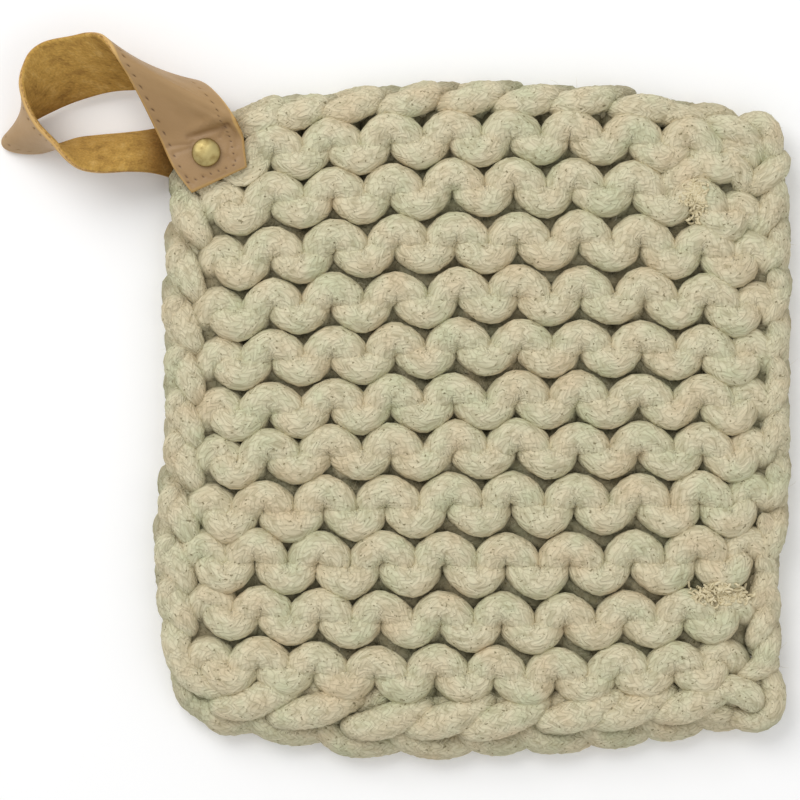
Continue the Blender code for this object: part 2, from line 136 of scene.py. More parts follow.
def smooth_between(points: np.ndarray, position: float) -> np.ndarray:
    """Find a point of the Catmull-Rom curve through the rows of an array.

    Args:
        points: one row for each point.
        position: how far along, counted in rows.

    Returns:
        The point there.
    """
    last = len(points) - 1
    start = min(int(position), last - 1)
    t = position - start
    before, here, there, after = (points[min(max(start + k, 0), last)] for k in (-1, 0, 1, 2))
    return 0.5 * (2 * here + (there - before) * t
                  + (2 * before - 5 * here + 4 * there - after) * t ** 2
                  + (3 * here - before - 3 * there + after) * t ** 3)


def smooth_path(points: np.ndarray, count: int) -> np.ndarray:
    """Draw a smooth path through the rows of an array.

    Args:
        points: one row for each point.
        count: how many rows the path has.

    Returns:
        The path's rows.
    """
    return np.array([smooth_between(points, place)
                     for place in np.linspace(0, len(points) - 1, count)])


def run_lengths(points: np.ndarray) -> np.ndarray:
    """Return the distance run along a polyline at each of its points."""
    return np.append(0, np.cumsum(np.linalg.norm(np.diff(points, axis=0), axis=1)))


def respaced(rows: np.ndarray, lengths: np.ndarray, count: int) -> np.ndarray:
    """Respace rows evenly.

    Args:
        rows: one row for each point.
        lengths: the distance run at each of them.
        count: how many rows to return.

    Returns:
        The same columns, the same distance apart.
    """
    wanted = np.linspace(0, lengths[-1], count)
    return np.stack([np.interp(wanted, lengths, column) for column in rows.T], axis=1)


def unit(vectors: np.ndarray) -> np.ndarray:
    """Return vectors with a length of 1."""
    return vectors / np.linalg.norm(vectors, axis=-1)[..., None]


def tube_rings(path: np.ndarray, radius: np.ndarray, angle: np.ndarray,
               beside: tuple[float, float, float]) -> np.ndarray:
    """Draw rings of points about a path.

    Args:
        path: x, y, z rows.
        radius: the radius for each ring and for each of its points, or one for the whole ring.
        angle: the angle of each point about the path.
        beside: a direction that the path never runs in.

    Returns:
        The points, by ring and by place around it.
    """
    run = unit(np.gradient(path, axis=0))
    across = unit(np.cross(run, beside))
    upward = np.cross(across, run)
    ring = (across[:, None, :] * np.cos(angle)[..., None]
            + upward[:, None, :] * np.sin(angle)[..., None])
    return path[:, None, :] + ring * radius[..., None]


class Wander:
    """A slow, seeded unevenness along a course, such as a hand leaves in its stitches."""

    RATES = (0.31, 0.83, 1.37)
    GAIN = 1.4                  # the waves seldom peak together, and this makes up for it

    def __init__(self, rng: np.random.Generator, reach: float) -> None:
        """Draw the phases.

        Args:
            rng: the seeded generator.
            reach: how far it wanders to each side, in millimetres.
        """
        self.reach = reach
        self.phases = rng.uniform(0, TURN, len(self.RATES))

    def at(self, turns: np.ndarray) -> np.ndarray:
        """Find the unevenness along the course.

        Args:
            turns: places along it, in stitches.

        Returns:
            The offset at each, in millimetres.
        """
        waves = [np.sin(rate * TURN * turns + phase)
                 for rate, phase in zip(self.RATES, self.phases)]
        return self.reach * np.mean(waves, axis=0) * self.GAIN


@dataclass
class MeshParts:
    """Collects shells of vertices, faces and UVs, and writes them to one object."""

    name: str
    uv_name: str
    verts: list[np.ndarray] = field(default_factory=list)
    faces: list[np.ndarray] = field(default_factory=list)
    caps: list[np.ndarray] = field(default_factory=list)
    uvs: list[np.ndarray] = field(default_factory=list)
    slots: list[np.ndarray] = field(default_factory=list)
    shades: list[np.ndarray] = field(default_factory=list)
    count: int = 0              # of the points so far

    def add(self, verts: np.ndarray, quads: np.ndarray, uvs: np.ndarray, shade: np.ndarray,
            caps: Iterable[np.ndarray] = (), slots: np.ndarray | int = 0) -> None:
        """Add one closed shell.

        Args:
            verts: its points, in millimetres.
            quads: four point numbers for each face.
            uvs: four UV pairs for each face.
            shade: red, green and blue at each point, for its finish to read.
            caps: rings of point numbers that close its ends.
            slots: the material slot of each quad, or of them all.
        """
        self.verts.append(verts)
        self.faces.append(quads + self.count)
        self.caps += [cap + self.count for cap in caps]
        self.uvs.append(uvs.reshape(-1, 2))
        self.slots.append(np.broadcast_to(slots, len(quads)))
        self.shades.append(np.column_stack([shade, np.ones(len(verts))]))
        self.count += len(verts)

    def add_tube(self, verts: np.ndarray, sides: int, along: np.ndarray,
                 shade: np.ndarray) -> None:
        """Add one closed tube.

        Args:
            verts: its points, ring by ring, in millimetres.
            sides: how many points a ring has.
            along: each ring's place along the UV map.
            shade: red, green and blue at each point.
        """
        last = len(along) - 1
        ring, side = np.meshgrid(np.arange(last), np.arange(sides), indexing="ij")
        after = (side + 1) % sides
        quads = np.stack([ring * sides + side, ring * sides + after,
                          (ring + 1) * sides + after, (ring + 1) * sides + side], axis=-1)
        u = np.stack([along[ring], along[ring], along[ring + 1], along[ring + 1]], axis=-1)
        v = np.stack([side, side + 1, side + 1, side], axis=-1) / sides
        caps = (np.arange(sides)[::-1], np.arange(sides) + last * sides)
        self.add(verts, quads.reshape(-1, 4), np.stack([u, v], axis=-1), shade, caps)

    def build(self, materials: Iterable[bpy.types.Material]) -> bpy.types.Object:
        """Write the object, smooth-shaded, in metres.

        Args:
            materials: its material slots.

        Returns:
            The new object.
        """
        verts = (np.concatenate(self.verts) + CENTRE_SHIFT) * MM
        quads = np.concatenate(self.faces)
        corners = np.concatenate([quads.ravel(), *self.caps])
        sizes = np.array([4] * len(quads) + [len(cap) for cap in self.caps], dtype=np.int32)
        starts = np.append(0, np.cumsum(sizes)[:-1])
        slots = np.concatenate([*self.slots, np.zeros(len(self.caps))])
        uvs = np.zeros((len(corners), 2))
        uvs[:quads.size] = np.concatenate(self.uvs)
        mesh = bpy.data.meshes.new(self.name)
        mesh.vertices.add(len(verts))
        mesh.vertices.foreach_set("co", verts.ravel())
        mesh.loops.add(len(corners))
        mesh.loops.foreach_set("vertex_index", corners.astype(np.int32))
        mesh.polygons.add(len(sizes))
        mesh.polygons.foreach_set("loop_start", starts.astype(np.int32))
        mesh.polygons.foreach_set("loop_total", sizes)
        mesh.polygons.foreach_set("material_index", slots.astype(np.int32))
        layer = mesh.uv_layers.new(name=self.uv_name)
        layer.data.foreach_set("uv", uvs.ravel())
        tones = mesh.color_attributes.new("tone", "FLOAT_COLOR", "POINT")
        tones.data.foreach_set("color", np.concatenate(self.shades).ravel())
        mesh.update(calc_edges=True)
        mesh.validate()
        mesh.shade_smooth()
        item = bpy.data.objects.new(self.name, mesh)
        bpy.context.scene.collection.objects.link(item)
        for material in materials:
            mesh.materials.append(material)
        return item


# ---- Finishes --------------------------------------------------------------------------------
@dataclass(frozen=True)
class Tint:
    """A colour laid over another one, by a pattern."""

    colour: str
    pattern: Source
    ramp: tuple[float, ...] = ()    # the pattern's value without and with the tint, then its share


@dataclass(frozen=True)
class Finish(ABC):
    """A finish, whose patterns its own class draws."""

    name: str

    @abstractmethod
    def inputs(self, tree: bpy.types.NodeTree) -> dict[str, object]:
        """Draw the patterns in a tree and return what the shader's inputs get."""

    def build(self) -> bpy.types.Material:
        """Return the material."""
        material = bpy.data.materials.new(self.name)
        material.use_nodes = True
        tree = material.node_tree
        set_inputs(tree, tree.nodes["Principled BSDF"], self.inputs(tree))
        return material

    def tinted(self, tree: bpy.types.NodeTree, base: str, tints: Iterable[Tint]) -> Source:
        """Lay tints over a colour.

        Args:
            tree: the material's tree.
            base: the colour that lies lowest.
            tints: the colours over it, from the lowest up.

        Returns:
            The colour that shows.
        """
        shown = linear(base)
        for tint in tints:
            share = tint.pattern
            if tint.ramp:
                start, end, most = tint.ramp
                share = add_node(tree, "MapRange", {0: share, 1: start, 2: end, 4: most})
            shown = add_node(tree, "Mix", {0: share, 6: shown, 7: linear(tint.colour)},
                             data_type="RGBA")
        return shown

    def tone(self, tree: bpy.types.NodeTree) -> bpy.types.Node:
        """Return the red, green and blue that a piece's own points carry, apart."""
        return add_node(tree, "SeparateColor", [add_node(tree, "VertexColor", layer_name="tone")])


@dataclass(frozen=True)
class CottonCordFinish(Finish):
    """Unbleached cotton, braided two over and two under into a thick soft cord.

    The braid shows as columns of short strokes that lean one way and then the other. Seed
    flecks, mottling, painted shade in the braid's creases and loose fibre keep it matt and
    slightly speckled. It reads the cord's own UV map, in girths along and turns around.
    """

    name: str = "braided_cotton_cord"
    light: str = "d6ceb0"
    rosy: str = "d5c5a5"
    green: str = "cacaa9"
    # darker mottling, and the painted shade where the braid's strands dip
    mottle_and_crease_shade: str = "918664"
    # the painted shade down in the crevices between cords, laid by the tone's red
    deep: str = "4c472a"
    fleck: str = "72684a"
    strands: int = 18           # strands each way
    repeat: float = 4.0         # columns of strokes until the braid is the same again
    lay: float = 1.91           # millimetres along the cord for one strand's step
    girth: float = 28.9         # millimetres round the cord
    relief: float = 0.2         # millimetres between a strand's crown and its crease
    fuzz: float = 0.9           # how much of that relief the fibre adds
    wander: float = 3.0         # steps that the braid wanders by in all,
    wander_rate: float = 7.0    # and how often in a girth
    lumps: tuple[float, float] = (0.8, 13.0)    # for each step along, and each turn around
    fibres: tuple[float, float] = (2.7, 1.1)    # across a strand, and along it to each crossing
    other_hand: float = 7.0     # how far apart the two hands' fibres are read in the noise
    patch: float = 11.0         # millimetres across a warmer or greener patch
    seed: float = 1.1           # millimetres between flecks of seed
    roughness: float = 0.95

    def inputs(self, tree: bpy.types.NodeTree) -> dict[str, object]:
        """Draw the braid.

        Args:
            tree: the material's tree.

        Returns:
            What the shader's inputs get.
        """
        uv = add_node(tree, "UVMap", uv_map="cord")
        axes = add_node(tree, "SeparateXYZ", [uv])
        wobble = add_node(tree, "TexNoise", {"Vector": uv, "Scale": self.wander_rate,
                                             "Detail": 1.0})
        uneven = add_node(tree, "Math", (wobble, self.wander, -self.wander / 2),
                          operation="MULTIPLY_ADD")
        steps = self.girth / self.lay
        along = add_node(tree, "Math", (axes.outputs[0], steps, uneven), operation="MULTIPLY_ADD")
        ways = [add_node(tree, "Math", (axes.outputs[1], count, along), operation="MULTIPLY_ADD")
                for count in (self.strands, -self.strands)]
        cells = [add_node(tree, "Math", [way], operation="FLOOR") for way in ways]
        column = add_node(tree, "Math", cells, operation="SUBTRACT")
        place = add_node(tree, "Math", (column, self.repeat), operation="FLOORED_MODULO")
        over = add_node(tree, "Math", (place, (self.repeat - 1) / 2), operation="GREATER_THAN")
        strokes = [self._stroke(tree, *pair) for pair in (ways, ways[::-1])]
        height = add_node(tree, "Mix", {0: over, 2: strokes[0], 3: strokes[1]})
        fibre = self._fibre(tree, ways, over)
        top = add_node(tree, "Math", (fibre, self.fuzz, height), operation="MULTIPLY_ADD")
        bump = {"Strength": 1.0, "Distance": self.relief * MM, "Height": top}
        lumps = [add_node(tree, "Math", pair, operation="MULTIPLY")
                 for pair in zip((along, axes.outputs[1]), self.lumps)]
        return {
            "Base Color": self._colour(tree, height, fibre, lumps, cells),
            "Normal": add_node(tree, "Bump", bump), "Roughness": self.roughness,
            "Specular IOR Level": 0.15, "Sheen Weight": 0.2, "Sheen Roughness": 0.6,
            "Sheen Tint": linear(self.light)}

    def _stroke(self, tree: bpy.types.NodeTree, way: Source, crossing: Source) -> Source:
        """Draw a strand where it lies on top.

        Args:
            tree: the material's tree.
            way: the count of strands on its own hand.
            crossing: the count of strands on the other hand.

        Returns:
            The height: round across the strand, and dipping where it goes under.
        """
        waves = []
        for count, rate in ((way, math.pi), (crossing, math.pi / 2)):
            angle = add_node(tree, "Math", (count, rate), operation="MULTIPLY")
            sine = add_node(tree, "Math", [angle], operation="SINE")
            waves.append(add_node(tree, "Math", [sine], operation="ABSOLUTE"))
        held = add_node(tree, "Math", (waves[1], 0.5, 0.5), operation="MULTIPLY_ADD")
        return add_node(tree, "Math", (waves[0], held), operation="MULTIPLY")

    def _fibre(self, tree: bpy.types.NodeTree, ways: Sequence[Source], over: Source) -> Source:
        """Draw fine fibre along whichever strand lies on top.

        Args:
            tree: the material's tree.
            ways: the counts of right-hand and of left-hand strands.
            over: 0 where a right-hand strand lies on top, and 1 where a left-hand one does.

        Returns:
            Its strength, 0.5 on average.
        """
        places = []
        for pair, depth in ((ways, 0.0), (ways[::-1], self.other_hand)):
            spread = [add_node(tree, "Math", (way, rate), operation="MULTIPLY")
                      for way, rate in zip(pair, self.fibres)]
            places.append(add_node(tree, "CombineXYZ", (*spread, depth)))
        place = add_node(tree, "Mix", {0: over, 4: places[0], 5: places[1]}, data_type="VECTOR")
        return add_node(tree, "TexNoise",
                        {"Vector": place, "Scale": 1.0, "Detail": 3.0, "Roughness": 0.6})

    def _colour(self, tree: bpy.types.NodeTree, height: Source, fibre: Source,
                lumps: Sequence[Source], cells: Sequence[Source]) -> Source:
        """Lay natural tints, mottling, painted shade in creases and crevices and seed flecks on the
        cotton.

        Args:
            tree: the material's tree.
            height: the braid's height.
            fibre: the fine fibre.
            lumps: the place along and around the cord, counted in lumps.
            cells: the numbers of the right-hand and of the left-hand strand.

        Returns:
            The colour.
        """
        place = add_node(tree, "TexCoord").outputs["Object"]
        patches, seeds = (add_node(tree, "TexNoise", {"Vector": place, "Scale": 1 / (size * MM),
                                                      "Detail": detail})
                          for size, detail in ((self.patch, 3.0), (self.seed, 2.0)))
        lump = add_node(tree, "TexNoise", {"Vector": add_node(tree, "CombineXYZ", lumps),
                                           "Scale": 1.0, "Detail": 3.0})
        stroke = add_node(tree, "TexWhiteNoise", {"Vector": add_node(tree, "CombineXYZ", cells)})
        return self.tinted(tree, self.light, (
            Tint(self.rosy, patches, (0.48, 0.7, 1.0)), Tint(self.green, patches, (0.5, 0.3, 1.0)),
            # Lumps, fibre and strokes mottle the cotton; where the braid is low it gets painted
            # crease shade.
            Tint(self.mottle_and_crease_shade, lump, (0.52, 0.28, 0.45)), Tint(self.mottle_and_crease_shade, height, (0.4, 0.0, 0.36)),
            Tint(self.mottle_and_crease_shade, fibre, (0.47, 0.28, 0.4)), Tint(self.mottle_and_crease_shade, stroke, (0.6, 1.0, 0.24)),
            Tint(self.fleck, seeds, (0.65, 0.71, 0.8)),
            # The tone's red lays painted shade down in the crevices between the cords.
            Tint(self.deep, self.tone(tree).outputs[0])))


@dataclass(frozen=True)
class LooseCottonFinish(Finish):
    """Single cotton fibres and curls: matt, with a tint that changes from curl to curl."""

    light: str
    dark: str
    patch: float = 1.5          # millimetres across one tint
    roughness: float = 0.95

    def inputs(self, tree: bpy.types.NodeTree) -> dict[str, object]:
        """Draw the tints over Object coordinates.

        Args:
            tree: the material's tree.

        Returns:
            What the shader's inputs get.
        """
        place = add_node(tree, "TexCoord").outputs["Object"]
        tint = add_node(tree, "TexNoise",
                        {"Vector": place, "Scale": 1 / (self.patch * MM), "Detail": 1.0})
        return {"Base Color": self.tinted(tree, self.light,
                                          [Tint(self.dark, tint, (0.35, 0.65, 1.0))]),
                "Roughness": self.roughness, "Specular IOR Level": 0.15}


@dataclass(frozen=True)
class GrainLeatherFinish(Finish):
    """Vegetable-tanned leather, grain side, smooth and lightly waxed.

    Fine pebbling and pores break up a soft sheen, the rim shows the paler cut, wear darkens the
    grain by the cut end, and shade is painted into the creases and into each needle hole. It
    reads the strap's UV map, in metres across and along.
    """

    name: str = "grain_leather"
    tan: str = "ab8a5f"
    deep: str = "9d7d51"
    cut: str = "c9a260"
    # darker wear by the cut end, and the painted shade in the creases
    wear_and_crease_shade: str = "7f5f3a"
    # the painted shade in the needle holes
    hole_shade: str = "54391f"
    mottle: float = 11.0        # millimetres across a lighter or darker patch
    pore: float = 0.45          # millimetres between pores, drawn twice as far apart to show
    pebble: float = 2.2         # millimetres across a pebble
    relief: float = 0.12        # millimetres between a pebble's crown and a pore
    pit_share: float = 0.35     # of that relief, in the pores
    glossy: float = 0.38        # the roughness of its smoothest patches,
    dull: float = 0.62          # and of its dullest

    def inputs(self, tree: bpy.types.NodeTree) -> dict[str, object]:
        """Draw the grain.

        Args:
            tree: the material's tree.

        Returns:
            What the shader's inputs get.
        """
        uv = add_node(tree, "UVMap", uv_map="leather")
        mottle, pebbles = (add_node(tree, "TexNoise",
                                    {"Vector": uv, "Scale": 1 / (size * MM), "Detail": 4.0})
                           for size in (self.mottle, self.pebble))
        pores = add_node(tree, "TexVoronoi", {"Vector": uv, "Scale": 1 / (self.pore * 2 * MM)},
                         feature="DISTANCE_TO_EDGE")
        pits = add_node(tree, "MapRange", {0: pores, 1: 0.0, 2: 0.25})
        height = add_node(tree, "Math", (pits, self.pit_share, pebbles), operation="MULTIPLY_ADD")
        bump = {"Strength": 0.5, "Distance": self.relief * MM, "Height": height}
        worn = self.tone(tree)
        return {
            "Base Color": self.tinted(tree, self.tan, (
                Tint(self.deep, mottle, (0.3, 0.75, 1.0)), Tint(self.cut, worn.outputs[0]),
                # The tone's blue lays wear and painted crease shade; its green lays painted shade in
                # the needle holes.
                Tint(self.wear_and_crease_shade, worn.outputs[2]), Tint(self.hole_shade, worn.outputs[1]))),
            "Roughness": add_node(tree, "MapRange", {0: mottle, 3: self.glossy, 4: self.dull}),
            "Normal": add_node(tree, "Bump", bump), "IOR": 1.5}


@dataclass(frozen=True)
class SuedeLeatherFinish(Finish):
    """The flesh side of the same leather: golden, napped and uneven, with no shine.

    It reads the strap's UV map, in metres across and along.
    """

    name: str = "suede_leather"
    golden: str = "b58f49"
    shadow: str = "94713a"
    pale: str = "c6a25f"
    # the painted shade low in the loop and the painted shadow beside the front end
    loop_shade: str = "704a20"
    cloud: float = 5.0          # millimetres across a cloud of nap
    nap: float = 0.8            # millimetres between tufts of nap
    relief: float = 0.25        # millimetres between the nap's tips and its hollows
    roughness: float = 0.95

    def inputs(self, tree: bpy.types.NodeTree) -> dict[str, object]:
        """Draw the nap.

        Args:
            tree: the material's tree.

        Returns:
            What the shader's inputs get.
        """
        uv = add_node(tree, "UVMap", uv_map="leather")
        cloud = add_node(tree, "TexNoise", {"Vector": uv, "Scale": 1 / (self.cloud * MM),
                                            "Detail": 5.0, "Roughness": 0.7})
        nap = add_node(tree, "TexNoise",
                       {"Vector": uv, "Scale": 1 / (self.nap * MM), "Detail": 3.0})
        base = self.tinted(tree, self.golden, (
            Tint(self.shadow, cloud, (0.5, 0.34, 1.0)), Tint(self.pale, cloud, (0.52, 0.7, 1.0)),
            # The tone's blue lays painted shade and shadow over the nap's clouds.
            Tint(self.loop_shade, self.tone(tree).outputs[2])))
        grit = add_node(tree, "MapRange", (nap, 0.3, 0.7, 0.8, 1.15))
        height = add_node(tree, "Math", (cloud, 2.0, nap), operation="MULTIPLY_ADD")
        bump = {"Strength": 0.7, "Distance": self.relief * MM, "Height": height}
        return {
            "Base Color": add_node(tree, "Mix", {0: 1.0, 6: base, 7: grit},
                                   data_type="RGBA", blend_type="MULTIPLY"),
            "Normal": add_node(tree, "Bump", bump), "Roughness": self.roughness,
            "Specular IOR Level": 0.15, "Sheen Weight": 0.3, "Sheen Tint": linear(self.pale)}


@dataclass(frozen=True)
class RawEdgeFinish(Finish):
    """The leather's cut edge, left unpainted: yellow-tan, fibrous and layered."""

    name: str = "raw_leather_edge"
    pale: str = "c99f5c"
    dark: str = "8f6a38"
    layer: float = 0.9          # millimetres between layers of fibre
    relief: float = 0.2
    roughness: float = 0.85

    def inputs(self, tree: bpy.types.NodeTree) -> dict[str, object]:
        """Draw the fibre over Object coordinates.

        Args:
            tree: the material's tree.

        Returns:
            What the shader's inputs get.
        """
        place = add_node(tree, "TexCoord").outputs["Object"]
        fibre = add_node(tree, "TexNoise",
                         {"Vector": place, "Scale": 1 / (self.layer * MM), "Detail": 4.0})
        bump = {"Strength": 0.6, "Distance": self.relief * MM, "Height": fibre}
        return {"Base Color": self.tinted(tree, self.dark,
                                          [Tint(self.pale, fibre, (0.35, 0.65, 1.0))]),
                "Normal": add_node(tree, "Bump", bump), "Roughness": self.roughness}


@dataclass(frozen=True)
class AgedBrassFinish(Finish):
    """Stamped brass, tumbled and a little dulled: pale yellow, brown where it tarnished, with painted
    shade on its tilted rim.
    """

    name: str = "tumbled_brass"
    bright: str = "bfae77"
    # brown tarnish in patches, and the painted shade on the rim
    tarnish_and_rim_shade: str = "846a38"
    cloud: float = 3.5          # millimetres across a tarnished patch
    mark: float = 0.5           # millimetres between the marks of the tumbling
    relief: float = 0.05
    glossy: float = 0.43        # the roughness where it is bright,
    dull: float = 0.63          # and where it is tarnished

    def inputs(self, tree: bpy.types.NodeTree) -> dict[str, object]:
        """Draw the tarnish and the marks over Object coordinates, and painted shade on the tilted
        rim.

        Args:
            tree: the material's tree.

        Returns:
            What the shader's inputs get.
        """
        place = add_node(tree, "TexCoord").outputs["Object"]
        cloud, marks = (add_node(tree, "TexNoise", {"Vector": place, "Scale": 1 / (size * MM),
                                                    "Detail": detail})
                        for size, detail in ((self.cloud, 4.0), (self.mark, 3.0)))
        facing = add_node(tree, "NewGeometry").outputs["Normal"]
        upward = add_node(tree, "SeparateXYZ", [facing]).outputs[2]
        bump = {"Strength": 0.25, "Distance": self.relief * MM, "Height": marks}
        return {
            "Base Color": self.tinted(tree, self.bright, (
                Tint(self.tarnish_and_rim_shade, cloud, (0.5, 0.72, 0.6)),
                # Painted shade on the rim, where the surface tilts away from straight up.
                Tint(self.tarnish_and_rim_shade, upward, (0.72, 0.35, 0.75)))),
            "Roughness": add_node(tree, "MapRange",
                                  (cloud, 0.4, 0.7, self.glossy, self.dull)),
            "Normal": add_node(tree, "Bump", bump), "Metallic": 1.0}


@dataclass(frozen=True)
class PaperFinish(Finish):
    """Matt white background paper: almost white, with the faintest unevenness."""

    name: str = "white_paper"
    white: str = "fdfdfd"
    shaded: str = "fafafa"

    def inputs(self, tree: bpy.types.NodeTree) -> dict[str, object]:
        """Draw the unevenness over Object coordinates.

        Args:
            tree: the material's tree.

        Returns:
            What the shader's inputs get.
        """
        place = add_node(tree, "TexCoord").outputs["Object"]
        cloud = add_node(tree, "TexNoise", {"Vector": place, "Scale": 3.0})
        return {"Base Color": self.tinted(tree, self.white, [Tint(self.shaded, cloud)]),
                "Roughness": 1.0, "Specular IOR Level": 0.0}


# ---- Where the strap presses the knit ---------------------------------------------------------
@dataclass(frozen=True)
class Patch:
    """A pressed rectangle about the rivet that fades out around it, in millimetres."""

    heading_deg: float
    behind: float
    ahead: float
    half_width: float
    fade: float

    def share(self, plan: np.ndarray) -> np.ndarray:
        """Find how much of the patch's press reaches some points.

        Args:
            plan: x, y rows.

        Returns:
            1 inside the patch, fading to 0 around it.
        """
        heading = math.radians(self.heading_deg)
        offset = plan - RIVET_AXIS
        along = offset[..., 0] * math.cos(heading) + offset[..., 1] * math.sin(heading)
        across = -offset[..., 0] * math.sin(heading) + offset[..., 1] * math.cos(heading)
        past_ends = np.maximum(np.maximum(-self.behind - along, along - self.ahead), 0)
        past_sides = np.maximum(np.abs(across) - self.half_width, 0)
        return 1 - smooth_step(np.hypot(past_ends, past_sides) / self.fade)


@dataclass(frozen=True)
class PinchedCorner:
    """How the strap's two ends hold the knit's corner down and up, in millimetres."""

    front: Patch = Patch(118.0, 12.0, 40.0, 13.2, 4.0)
    back: Patch = Patch(0.0, 40.0, 14.5, 14.5, 12.0)
    top_z: float = 11.7
    back_z: float = 3.9
    ramp_slope: float = 0.43
    ramp_start_x: float = 1.0
    ramp_near_y: float = 20.0
    ramp_span_y: float = 27.0
    layer: float = 0.8          # what is squeezed ends up within this much of what squeezes it

    def press(self, points: np.ndarray) -> np.ndarray:
        """Move points under the strap's front end, over its back end and out of the floor.

        Args:
            points: x, y, z rows.

        Returns:
            The pressed rows.
        """
        plan, z = points[:, :2], points[:, 2]
        climb = np.maximum(RIVET_AXIS[0] + self.ramp_start_x - plan[:, 0], 0)
        near = np.clip((RIVET_AXIS[1] + self.ramp_near_y - plan[:, 1]) / self.ramp_span_y, 0, 1)
        ramp = self.back_z + self.ramp_slope * climb * near
        lifted = ramp + self._soften(z - ramp)
        z = z + self.back.share(plan) * (lifted - z)
        pressed = self.top_z - self._soften(self.top_z - z)
        z = z + self.front.share(plan) * (pressed - z)
        return np.column_stack([plan, FLOOR_Z + self._soften(z - FLOOR_Z)])

    def _soften(self, room: np.ndarray) -> np.ndarray:
        """Squeeze room that is short or missing into a thin layer, keeping its order."""
        squeezed = self.layer * np.exp(np.minimum(room - self.layer, 0) / self.layer)
        return np.where(room > self.layer, room, squeezed)


# ---- Knit ------------------------------------------------------------------------------------
@dataclass(frozen=True)
class Ridge:
    """One garter ridge: the crown of its bow, how far its ends droop, and where its heads are."""

    crown: float
    left_droop: float
    right_droop: float
    first_head: float
    pitch: float

    CROWN_X = 46.5
    LEFT_SPAN = 88.0
    RIGHT_SPAN = 49.0

    def heads(self, x: np.ndarray) -> np.ndarray:
        """Find how high in the plan the ridge's heads lie.

        Args:
            x: places along the ridge.

        Returns:
            Their y.
        """
        left = self.left_droop * (np.maximum(self.CROWN_X - x, 0) / self.LEFT_SPAN) ** 2
        right = self.right_droop * (np.maximum(x - self.CROWN_X, 0) / self.RIGHT_SPAN) ** 2
        return self.crown - left - right


RIDGES = (
    Ridge(85.2, 5.6, 4.1, -39.7, 18.8), Ridge(69.6, 5.4, 6.0, -39.4, 18.95),
    Ridge(52.9, 5.4, 3.8, -39.3, 19.3), Ridge(35.6, 4.6, 2.4, -40.1, 19.6),
    Ridge(18.9, 3.7, 1.6, -39.5, 19.4), Ridge(2.4, 3.4, 0.8, -40.2, 19.35),
    Ridge(-12.9, 2.6, 1.0, -40.7, 19.5), Ridge(-29.4, 2.0, -0.3, -42.8, 19.7),
    Ridge(-48.0, -0.6, -1.6, -44.7, 19.75), Ridge(-67.2, -2.6, -2.2, -43.2, 19.05),
    Ridge(-84.0, -2.6, -3.0, -44.2, 18.75),
)


@dataclass(frozen=True)
class Cord:
    """A round braided cord that is swept along paths."""

    radius: float = 5.1
    sides: int = 28
    step: float = 1.06
    end_rings: int = 4          # over this many its ends round off
    tip: float = 0.02           # the square of the share of the radius that stays at the very end
    relief: float = 0.7         # how far the cord swells and narrows
    broad: float = 0.2          # the share of the broad swellings in that,
    fine: float = 0.3           # and of the fine ones
    most_start: float = 50.0    # girths along its braid that a length may start
    most_twist: float = 0.05    # turns that a length may twist in a girth
    shade_reach: float = 5.0    # closer to the knit's middle than this it lies in the creases and gets painted shade
    shade_fade: float = 4.0
    finish: CottonCordFinish = field(default_factory=CottonCordFinish)

    # Two waves for each kind of swelling: how often each comes in a girth, and in a turn around.
    BROAD_WAVES = ((4.7, 2), (2.9, -1))
    FINE_WAVES = ((9.3, 5), (7.1, -4))

    def sweep(self, parts: MeshParts, path: np.ndarray, rng: np.random.Generator,
              corner: PinchedCorner, shade: float) -> None:
        """Sweep the cord along a path and add it to a mesh.

        Args:
            parts: the mesh that it goes into.
            path: x, y, z and radius rows, in millimetres.
            rng: the seeded generator of where its braid starts and how it twists.
            corner: what presses it.
            shade: how strong the painted shade is down in the creases.
        """
        start, twist = rng.uniform(0, self.most_start), rng.uniform(-self.most_twist, self.most_twist)
        lengths = run_lengths(path[:, :3])
        steps = max(int(round(lengths[-1] / self.step)), 4)
        rows = respaced(path, lengths, steps + 1)
        along = run_lengths(rows[:, :3]) / self.finish.girth + start
        around = np.arange(self.sides) / self.sides
        angle = TURN * (around[None, :] + twist * along[:, None])
        swell = self._swell(along[:, None], around[None, :]) * self.relief
        ends = np.minimum(np.arange(len(rows)), np.arange(len(rows))[::-1]) / self.end_rings
        taper = rounded_end(ends, self.tip)
        radius = (rows[:, 3] * taper)[:, None] + swell * taper[:, None]
        points = tube_rings(rows[:, :3], radius, angle, UPRIGHT).reshape(-1, 3)
        # Painted shade: the nearer the knit's middle, where the crevices lie, the darker.
        off_middle = np.abs(points[:, 2] - MIDDLE_Z)
        dark = np.clip((self.shade_reach - off_middle) / self.shade_fade, 0, 1) * shade
        parts.add_tube(corner.press(points), self.sides, along, np.repeat(dark[:, None], 3, axis=1))

    def _swell(self, along: np.ndarray, around: np.ndarray) -> np.ndarray:
        """Draw the cord's unevenness.

        Args:
            along: places along it, in girths.
            around: places around it, in turns.

        Returns:
            How far it swells, from -0.5 to 0.5.
        """
        broad, fine = [[TURN * (along * rate + around * turns) for rate, turns in waves]
                       for waves in (self.BROAD_WAVES, self.FINE_WAVES)]
        return (self.broad * (np.sin(broad[0]) * np.cos(broad[1]))
                + self.fine * (np.sin(fine[0]) * np.sin(fine[1])))


class Loops(Enum):
    """Which loops of a ridge a course brings to the front."""

    HEADS = "heads"
    FEET = "feet"


